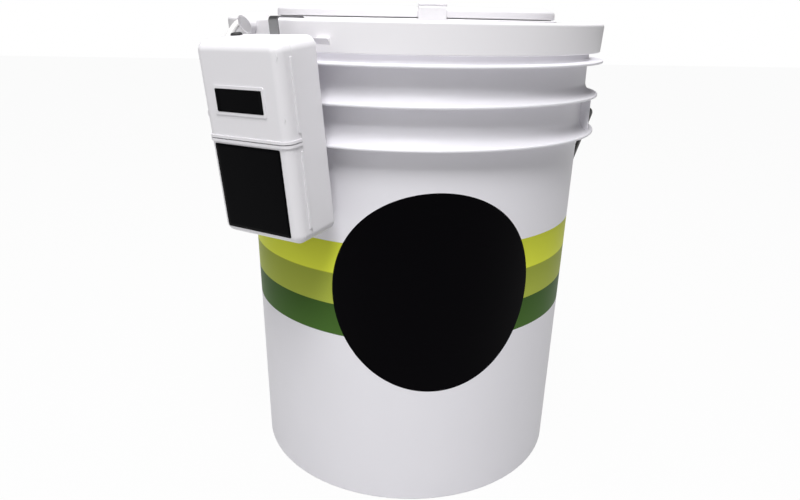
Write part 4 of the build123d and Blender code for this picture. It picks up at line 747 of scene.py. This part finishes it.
# --------------------------------------------------------------------------- lid
@dataclass
class Lid:
    """Snap lid with a sunk panel, webs, a collar for the hatch and hinge knuckles."""

    skirt_low: float = 347.3
    top: float = 368.0
    rim_inner: float = 134.6
    panel: float = 355.2
    collar: float = 103.5
    ledge: tuple[float, float] = (113.0, 369.2)
    wall: float = 2.3
    webs: int = 12
    lug_azimuth: float = -28.6
    hinge: tuple[float, float] = (116.8, 372.0)
    knuckle: float = 3.6
    port_face: Corner = (155.5, -53.6, 363.2)
    port_turn: float = -42.3
    port_radius: float = 6.2
    port_slope: float = 25.1
    hose_azimuth: float = -58.22

    def profile(self) -> list[Corner]:
        """The lid's profile, up the skirt, over the rim and panel, and back underneath."""
        ledge_radius, ledge_high = self.ledge
        outer = 149.3
        under = self.panel - self.wall
        roof = self.top - self.wall
        channel = self.rim_inner + self.wall
        return [
            (148.0, self.skirt_low, 0.8), (outer, self.top, 2.2), (self.rim_inner, self.top, 2.21),
            (self.rim_inner, self.panel, 1.2), (self.collar + self.wall, self.panel, 1.2),
            (self.collar + self.wall, ledge_high - self.wall, 0.6),
            (ledge_radius, ledge_high - self.wall, 0.5), (ledge_radius, ledge_high, 0.6),
            (self.collar, ledge_high, 0.7), (self.collar, under, 0.5), (channel, under, 0.5),
            (channel, roof, 0.6), (outer - self.wall, roof, 0.6), (145.7, 352.4, 0.4),
            (144.0, 350.7, 0.6), (145.7, 349.0, 0.4), (145.7, self.skirt_low, 0.5),
        ]

    def port(self) -> Form:
        """The hose port: a round boss with a sloping dished face, and the hose's saddle over the rim."""
        root = -9.5
        dish = self.port_radius - 0.8
        floor = -0.8
        form = Form().turned(
            [
                (0.0, root, 0.0), (self.port_radius, root, 0.0), (self.port_radius, 0.0, 0.4),
                (dish, 0.0, 0.3), (dish, floor, 0.5), (0.0, floor, 0.0),
            ],
            steps=64,
        )
        for vert in form.bm.verts:
            if vert.co.z > root + 1.0:
                vert.co.z += vert.co.y * tan(radians(self.port_slope))
        outward = Matrix(((0, 0, 1, 0), (1, 0, 0, 0), (0, 1, 0, 0), (0, 0, 0, 1)))
        middle = Matrix.Translation(round_pail(*self.port_face))
        form.bm.transform(middle @ around(self.port_turn) @ outward)
        saddle = [(133.4, 364.0, 0.3), (150.8, 362.0, 0.8), (150.8, 370.4, 2.0), (133.4, 370.4, 1.2)]
        form.prism(saddle, 9.0, around(self.hose_azimuth), 1.2)
        return form

    def build(self, shop: Workshop) -> None:
        """Makes the lid and the pieces that stay with it."""
        form = Form().turned(self.profile(), steps=256)
        for web in range(self.webs):
            azimuth = (web + 0.5) * 360.0 / self.webs
            foot = self.panel - 1.1
            corners = [
                (self.collar + 1.2, foot, 0.0), (self.rim_inner + 1.2, foot, 0.0),
                (self.rim_inner + 1.2, self.panel + 7.0, 0.0), (self.collar + 1.2, self.panel + 3.5, 0.0),
            ]
            form.prism(corners, 1.8, around(azimuth), 0.4)
        lug = [(148.15, 356.4, 0.0), (152.3, 356.4, 0.5), (148.15, 352.25, 0.0)]
        form.prism(lug, 10.0, around(self.lug_azimuth), 0.4)
        reach, height = self.hinge
        for side in (-22.5, 22.5):
            post = [
                (reach - self.knuckle, self.panel - 1.0, 0.0), (reach + self.knuckle, self.panel - 1.0, 0.0),
                (reach + self.knuckle, height + self.knuckle, self.knuckle - 0.05),
                (reach - self.knuckle, height + self.knuckle, self.knuckle - 0.05),
            ]
            form.prism(post, 9.0, Matrix.Translation((side, 0.0, 0.0)) @ around(180.0), 0.4)
        piece = form.finish("snap_lid", shop.finishes["lid_white"])
        # The lid casts no shadow, as thin white plastic lets light through; the shade on the pail's neck below its
        # skirt is painted into the pail's colour instead
        piece.visible_shadow = False
        shop.mount(piece, Body.LID, "lid_white", "lid")
        shop.adopt("lid_gasket", "seal_foam", Body.LID, "seal_foam")
        shop.adopt("hatch_pin", "screw_steel", Body.LID, "screw_steel")
        port = self.port().finish("hose_port_form", shop.finishes["lid_white"])
        shop.mount(port, Body.LID, "lid_white", "hose_port")
        shop.adopt("hose_grommet", "soft_rubber", Body.LID, "seal_rubber")


@dataclass
class Hatch:
    """Round hatch with a plug, a thumb tab and a hinge arm."""

    radius: float = 111.0
    top: float = 376.0
    skirt: float = 370.0
    plug: float = 103.0
    tab_width: float = 18.6
    hinge: tuple[float, float] = (116.8, 372.0)

    def build(self, shop: Workshop) -> None:
        """Makes the hatch and its seal."""
        under = self.top - 2.5
        form = Form().turned(
            [
                (0.0, under, 0.0), (self.plug - 2.3, under, 0.5), (self.plug - 2.3, under - 8.0, 0.5),
                (self.plug, under - 8.0, 0.8), (self.plug, under, 0.5), (self.radius - 2.5, under, 0.5),
                (self.radius - 2.5, self.skirt, 0.4), (self.radius, self.skirt, 0.4),
                (self.radius, self.top, 2.2), (0.0, self.top, 0.0),
            ],
            steps=256,
        )
        tab = [
            (113.6, 366.0, 0.5), (113.6, self.skirt, 0.0), (108.5, self.skirt, 0.0), (108.5, self.top, 0.0),
            (113.6, 379.0, 0.6), (116.6, 379.0, 0.8), (116.6, 377.9, 0.0), (115.9, 377.0, 0.4),
            (116.6, 376.1, 0.0), (116.6, 366.0, 0.7),
        ]
        form.prism(tab, self.tab_width, around(0.0), 0.6)
        reach, height = self.hinge
        arm = [
            (108.5, 370.3, 0.0), (reach, 370.3, 0.0), (reach + 1.6, height - 3.2, 1.5),
            (reach + 3.6, height, 2.0), (reach + 1.4, height + 3.4, 1.8), (reach - 2.4, 374.9, 1.0),
            (108.5, 374.9, 0.0),
        ]
        form.prism(arm, 35.4, around(180.0), 0.4)
        piece = form.finish("flip_hatch", shop.finishes["lid_white"])
        shop.mount(piece, Body.HATCH, "lid_white", "hatch")
        shop.adopt("hatch_seal", "seal_foam", Body.HATCH, "seal_foam")


# ---------------------------------------------------------------------- air pump
@dataclass
class AirPump:
    """Battery air pump that hangs on the lid by its steel clip."""

    azimuth: float = -37.3
    stand_off: float = 159.0
    shift: float = -8.6
    top: float = 358.1
    lean: float = 6.3
    roll: float = 1.2
    front: float = 36.2
    label_lift: float = 0.12
    labels: tuple[tuple[str, str, Body, Corner, Corner], ...] = (
        ("panel_label", "upper_cover", Body.LID, (-21.4, -43.5, 0.8), (18.8, -28.8, 0.0)),
        ("cover_label", "battery_cover", Body.BATTERY_DOOR, (-30.0, -123.9, 1.2), (27.5, -65.0, 0.0)),
    )
    dressing: tuple[tuple[str, str, Body, str], ...] = (
        ("back_case", "pump_white", Body.LID, "pump_white"),
        ("upper_cover", "pump_white", Body.LID, "pump_white"),
        ("battery_cover", "pump_white", Body.BATTERY_DOOR, "pump_white"),
        ("case_seal", "silicone", Body.LID, "seal_rubber"),
        ("case_screws", "screw_steel", Body.LID, "screw_steel"),
        ("pump_clip", "clip_steel", Body.LID, "clip_steel"),
        ("clip_rivets", "clip_steel", Body.LID, "clip_steel"),
        ("motor", "motor_can", Body.LID, "motor_can"),
        ("motor_sleeves", "soft_rubber", Body.LID, "seal_rubber"),
        ("motor_shaft", "screw_steel", Body.ROTOR, "screw_steel"),
        ("crank_wheel", "works_plastic", Body.ROTOR, "works_plastic"),
        ("lever", "works_plastic", Body.LEVER, "works_plastic"),
        ("lever_pin", "screw_steel", Body.LID, "screw_steel"),
        ("diaphragm", "soft_rubber", Body.LID, "seal_rubber"),
        ("valve_block", "works_plastic", Body.LID, "works_plastic"),
        ("valve_flaps", "soft_rubber", Body.LID, "seal_rubber"),
        ("air_duct", "silicone", Body.LID, "hose_silicone"),
        ("outlet_elbow", "pump_white", Body.LID, "pump_white"),
        ("switch_body", "works_plastic", Body.LID, "works_plastic"),
        ("switch_button", "soft_rubber", Body.BUTTON, "seal_rubber"),
        ("contact_bridge", "contact_nickel", Body.LID, "contact_nickel"),
        ("contact_pads", "contact_nickel", Body.LID, "contact_nickel"),
    )

    def place(self) -> Matrix:
        """The pump's frame in millimetres: X to its right, Y up and Z out of its front."""
        outward = round_pail(1.0, self.azimuth, 0.0)
        right = Vector((0.0, 0.0, 1.0)).cross(outward)
        lean = radians(self.lean)
        roll = radians(self.roll)
        upright = Vector((0.0, 0.0, 1.0))
        out = outward * cos(lean) - upright * sin(lean)
        up = upright * cos(lean) + outward * sin(lean)
        along = right * cos(roll) + up * sin(roll)
        rise = out.cross(along)
        origin = outward * self.stand_off + right * self.shift + upright * self.top
        return Matrix(
            (
                (along.x, rise.x, out.x, origin.x), (along.y, rise.y, out.y, origin.y),
                (along.z, rise.z, out.z, origin.z), (0.0, 0.0, 0.0, 1.0),
            )
        )

    def label(self, shop: Workshop, name: str, node: str, body: Body, low: Corner, high: Corner) -> None:
        """Lays a plain dark label on one of the covers.

        Args:
            shop: The workshop.
            name: The label's name.
            node: The cover that it lies on.
            body: The body that carries it.
            low: Its lower left corner and its corners' rounding.
            high: Its upper right corner.
        """
        place = self.place()
        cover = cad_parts[node].data
        tree = BVHTree.FromPolygons([v.co for v in cover.vertices], [p.vertices for p in cover.polygons])
        part = bmesh.new()
        size = (high[0] - low[0], high[1] - low[1])
        bmesh.ops.create_grid(part, x_segments=24, y_segments=24, size=0.5)
        bmesh.ops.scale(part, vec=(size[0], size[1], 1.0), verts=part.verts)
        bmesh.ops.translate(part, verts=part.verts, vec=(low[0] + size[0] / 2, low[1] + size[1] / 2, 0.0))
        corners = [v for v in part.verts if len(v.link_edges) == 2]
        bmesh.ops.bevel(
            part, geom=corners, offset=low[2], offset_type="OFFSET", segments=4, profile=0.5,
            affect="VERTICES", material=-1,
        )
        toward = place.to_3x3() @ Vector((0.0, 0.0, -1.0))
        for vert in part.verts:
            start = place @ Vector((vert.co.x, vert.co.y, self.front + 20.0))
            hit = tree.ray_cast(start * MM, toward)[0]
            point = hit / MM if hit else start + toward * 20.0
            vert.co = point - toward * self.label_lift
        part.transform(Matrix.Scale(MM, 4))
        mesh = bpy.data.meshes.new(name)
        bmesh.ops.recalc_face_normals(part, faces=part.faces)
        part.to_mesh(mesh)
        part.free()
        piece = as_piece(name, mesh, shop.finishes["label_ink"], SHARP_ANGLE)
        film = piece.modifiers.new("film", "SOLIDIFY")
        film.thickness = self.label_lift * MM
        film.offset = -1.0
        shop.mount(piece, body, "seal_rubber")

    def cell(self, shop: Workshop, node: str, side: float) -> None:
        """Dresses one cell, whose band is at its nub's end."""
        turn = self.place().to_3x3()
        nub_up = side < 0.0
        foot = self.place() @ Vector((side * 17.05, -125.1 if nub_up else -64.6, 18.05)) * MM
        axis = turn @ Vector((0.0, 1.0 if nub_up else -1.0, 0.0))
        finish = Jacket(
            f"{node}_jacket", (0.020, 0.022, 0.030), 0.28, coat=0.5, mottle=0.05,
            axis_low=tuple(foot), axis=tuple(axis),
        )
        shop.finishes.made[finish.name] = finish.build()
        shop.adopt(node, finish.name, Body.LID, "cell_jacket")

    def build(self, shop: Workshop) -> None:
        """Makes the pump, its labels and its works."""
        for node, finish, body, slot in self.dressing:
            piece = shop.adopt(node, finish, body, slot)
            # The strap's narrow shadow is lost in the studio's broad light
            piece.visible_shadow = node != "pump_clip"
        for name, node, body, low, high in self.labels:
            self.label(shop, name, node, body, low, high)
        self.cell(shop, "cell_left", -1.0)
        self.cell(shop, "cell_right", 1.0)


# ----------------------------------------------------------------------- airline
@dataclass
class Airline:
    """Silicone airline from the pump's elbow to the stone on the well's floor."""

    diameter: float = 4.8
    length: float = 0.6
    rise: tuple[Corner, ...] = (
        (170.0, -55.82, 344.8), (160.4, -58.22, 358.5), (150.4, -58.22, 367.3), (118.2, -58.22, 367.3),
    )
    well: tuple[Corner, ...] = (
        (-100.4, -62.5, 335.0), (-97.5, -66.5, 284.0), (-95.0, -66.5, 226.0), (-92.5, -69.0, 168.0),
        (-94.0, -66.0, 110.0), (-92.0, -68.0, 62.0), (-90.0, -66.0, 19.0), (-63.0, -87.0, 19.0),
        (-28.0, -98.0, 19.0), (8.0, -95.0, 19.0), (38.0, -76.0, 20.5), (52.0, -45.0, 24.1),
        (50.0, -16.0, 24.1),
    )

    def build(self, shop: Workshop) -> None:
        route = [round_pail(*corner) for corner in self.rise]
        route += [Vector(point) for point in self.well]
        curve = bpy.data.curves.new("airline_hose", "CURVE")
        curve.dimensions = "3D"
        curve.bevel_depth = self.diameter / 2.0 * MM
        curve.bevel_resolution = 6
        curve.use_fill_caps = True
        spline = curve.splines.new("NURBS")
        spline.points.add(len(route) - 1)
        for point, place in zip(spline.points, route):
            point.co = (*(place * MM), 1.0)
        spline.order_u = 3
        spline.use_endpoint_u = True
        spline.resolution_u = 12
        curve.materials.append(shop.finishes["silicone"])
        hose = bpy.data.objects.new("airline_hose", curve)
        bpy.context.scene.collection.objects.link(hose)
        shop.mount(hose, Body.LID, "hose_silicone", "airline")
        cap = shop.adopt("stone_cap", "works_plastic", Body.LID, "works_plastic")
        stone = shop.adopt("air_stone", "air_stone", Body.LID, "stone_blue")


# ------------------------------------------------------------------------ studio
@dataclass
class Studio:
    """Pale floor, soft lights and the camera at the photograph's angle."""

    turn: float = 5.5
    distance: float = 0.5820
    height: float = 0.3677
    pitch: float = 18.84
    pan: float = -0.88
    bank: float = 1.13
    lens: float = 30.26
    ambient: float = 0.17
    floor_glow: float = 0.96
    lamps: tuple[tuple[str, Corner, float, float], ...] = (
        ("overhead", (-0.05, -0.25, 1.80), 0.9, 17.5),
        ("key", (-0.14, -1.20, 1.95), 0.7, 34.0),
        ("left_fill", (-1.8, -0.9, 0.9), 1.0, 5.5),
    )

    def camera(self) -> None:
        """Places the camera."""
        pan, pitch, bank = (radians(angle) for angle in (self.pan, self.pitch, self.bank))
        forward = Vector((sin(pan) * cos(pitch), cos(pan) * cos(pitch), -sin(pitch)))
        level = Vector((cos(pan), -sin(pan), 0.0))
        above = level.cross(forward)
        right = level * cos(bank) + above * sin(bank)
        up = right.cross(forward)
        data = bpy.data.cameras.new("photo_camera")
        data.lens = self.lens
        data.sensor_width = 36.0
        data.clip_start = 0.01
        camera = bpy.data.objects.new("photo_camera", data)
        bpy.context.scene.collection.objects.link(camera)
        axes = Matrix((right, up, -forward)).transposed().to_4x4()
        place = Matrix.Translation((0.0, -self.distance, self.height)) @ axes
        camera.matrix_world = Matrix.Rotation(-radians(self.turn), 4, "Z") @ place
        bpy.context.scene.camera = camera

    def lamp(self, name: str, place: Corner, size: float, power: float, target: Corner = (0, 0, 0.2)) -> None:
        """Adds one large soft lamp.

        Args:
            name: The lamp's name.
            place: Where it stands, in metres.
            size: The side of its square face.
            power: Its power in watts.
            target: The point it faces.
        """
        data = bpy.data.lights.new(name, "AREA")
        data.size = size
        data.energy = power
        lamp = bpy.data.objects.new(name, data)
        bpy.context.scene.collection.objects.link(lamp)
        aim = (Vector(target) - Vector(place)).to_track_quat("-Z", "Y").to_matrix().to_4x4()
        lamp.matrix_world = Matrix.Translation(place) @ aim

    def world(self) -> None:
        """Plain pale surroundings that look white to the camera and in reflections."""
        world = bpy.data.worlds.new("studio")
        bpy.context.scene.world = world
        world.use_nodes = True
        tree = world.node_tree
        tree.nodes.clear()
        output = tree.nodes.new("ShaderNodeOutputWorld")
        background = tree.nodes.new("ShaderNodeBackground")
        path = tree.nodes.new("ShaderNodeLightPath")
        seen = tree.nodes.new("ShaderNodeMath")
        seen.operation = "MAXIMUM"
        tree.links.new(path.outputs["Is Camera Ray"], seen.inputs[0])
        tree.links.new(path.outputs["Is Transmission Ray"], seen.inputs[1])
        strength = tree.nodes.new("ShaderNodeMapRange")
        tree.links.new(seen.outputs[0], strength.inputs[0])
        strength.inputs[3].default_value = self.ambient
        strength.inputs[4].default_value = 1.0
        tree.links.new(strength.outputs[0], background.inputs["Strength"])
        background.inputs["Color"].default_value = (1.0, 1.0, 1.0, 1.0)
        tree.links.new(background.outputs[0], output.inputs["Surface"])

    def floor(self) -> None:
        """A pale floor that keeps the object's shadow."""
        part = bmesh.new()
        bmesh.ops.create_grid(part, x_segments=1, y_segments=1, size=6.0)
        mesh = bpy.data.meshes.new("floor")
        part.to_mesh(mesh)
        part.free()
        floor = bpy.data.objects.new("floor", mesh)
        bpy.context.scene.collection.objects.link(floor)
        bench = Bench("floor_pale")
        bench.shader.inputs["Base Color"].default_value = (0.55, 0.55, 0.55, 1.0)
        bench.shader.inputs["Roughness"].default_value = 0.9
        bench.shader.inputs["Specular IOR Level"].default_value = 0.1
        path = bench.node("ShaderNodeLightPath")
        seen = Value(bench, path.outputs["Is Camera Ray"]).maths("MAXIMUM", Value(bench, path.outputs["Is Glossy Ray"]))
        glow = bench.node("ShaderNodeEmission", Color=(1.0, 1.0, 1.0), Strength=1.0)
        bench.cover(seen * self.floor_glow, glow.outputs[0])
        mesh.materials.append(bench.material)

    def build(self) -> None:
        """Sets the stage."""
        bpy.context.scene.view_settings.view_transform = "Standard"
        self.camera()
        self.world()
        self.floor()
        for lamp in self.lamps:
            self.lamp(*lamp)


@dataclass
class BaitBucket:
    """The whole bucket, sub-assembly by sub-assembly."""

    pail: Pail = field(default_factory=Pail)
    bail: Bail = field(default_factory=Bail)
    lid: Lid = field(default_factory=Lid)
    hatch: Hatch = field(default_factory=Hatch)
    pump: AirPump = field(default_factory=AirPump)
    airline: Airline = field(default_factory=Airline)

    def build(self) -> int:
        """Builds every sub-assembly and returns the number of pieces."""
        shop = Workshop(Finishes())
        for part in (self.pail, self.bail, self.lid, self.hatch, self.pump, self.airline):
            part.build(shop)
        return shop.count


def main() -> None:
    """Builds the bucket and its studio."""
    logging.basicConfig(level=logging.INFO)
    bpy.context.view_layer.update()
    count = BaitBucket().build()
    Studio().build()
    bpy.context.view_layer.update()
    LOG.info("%d pieces", count)


if __name__ == "__main__":
    main()
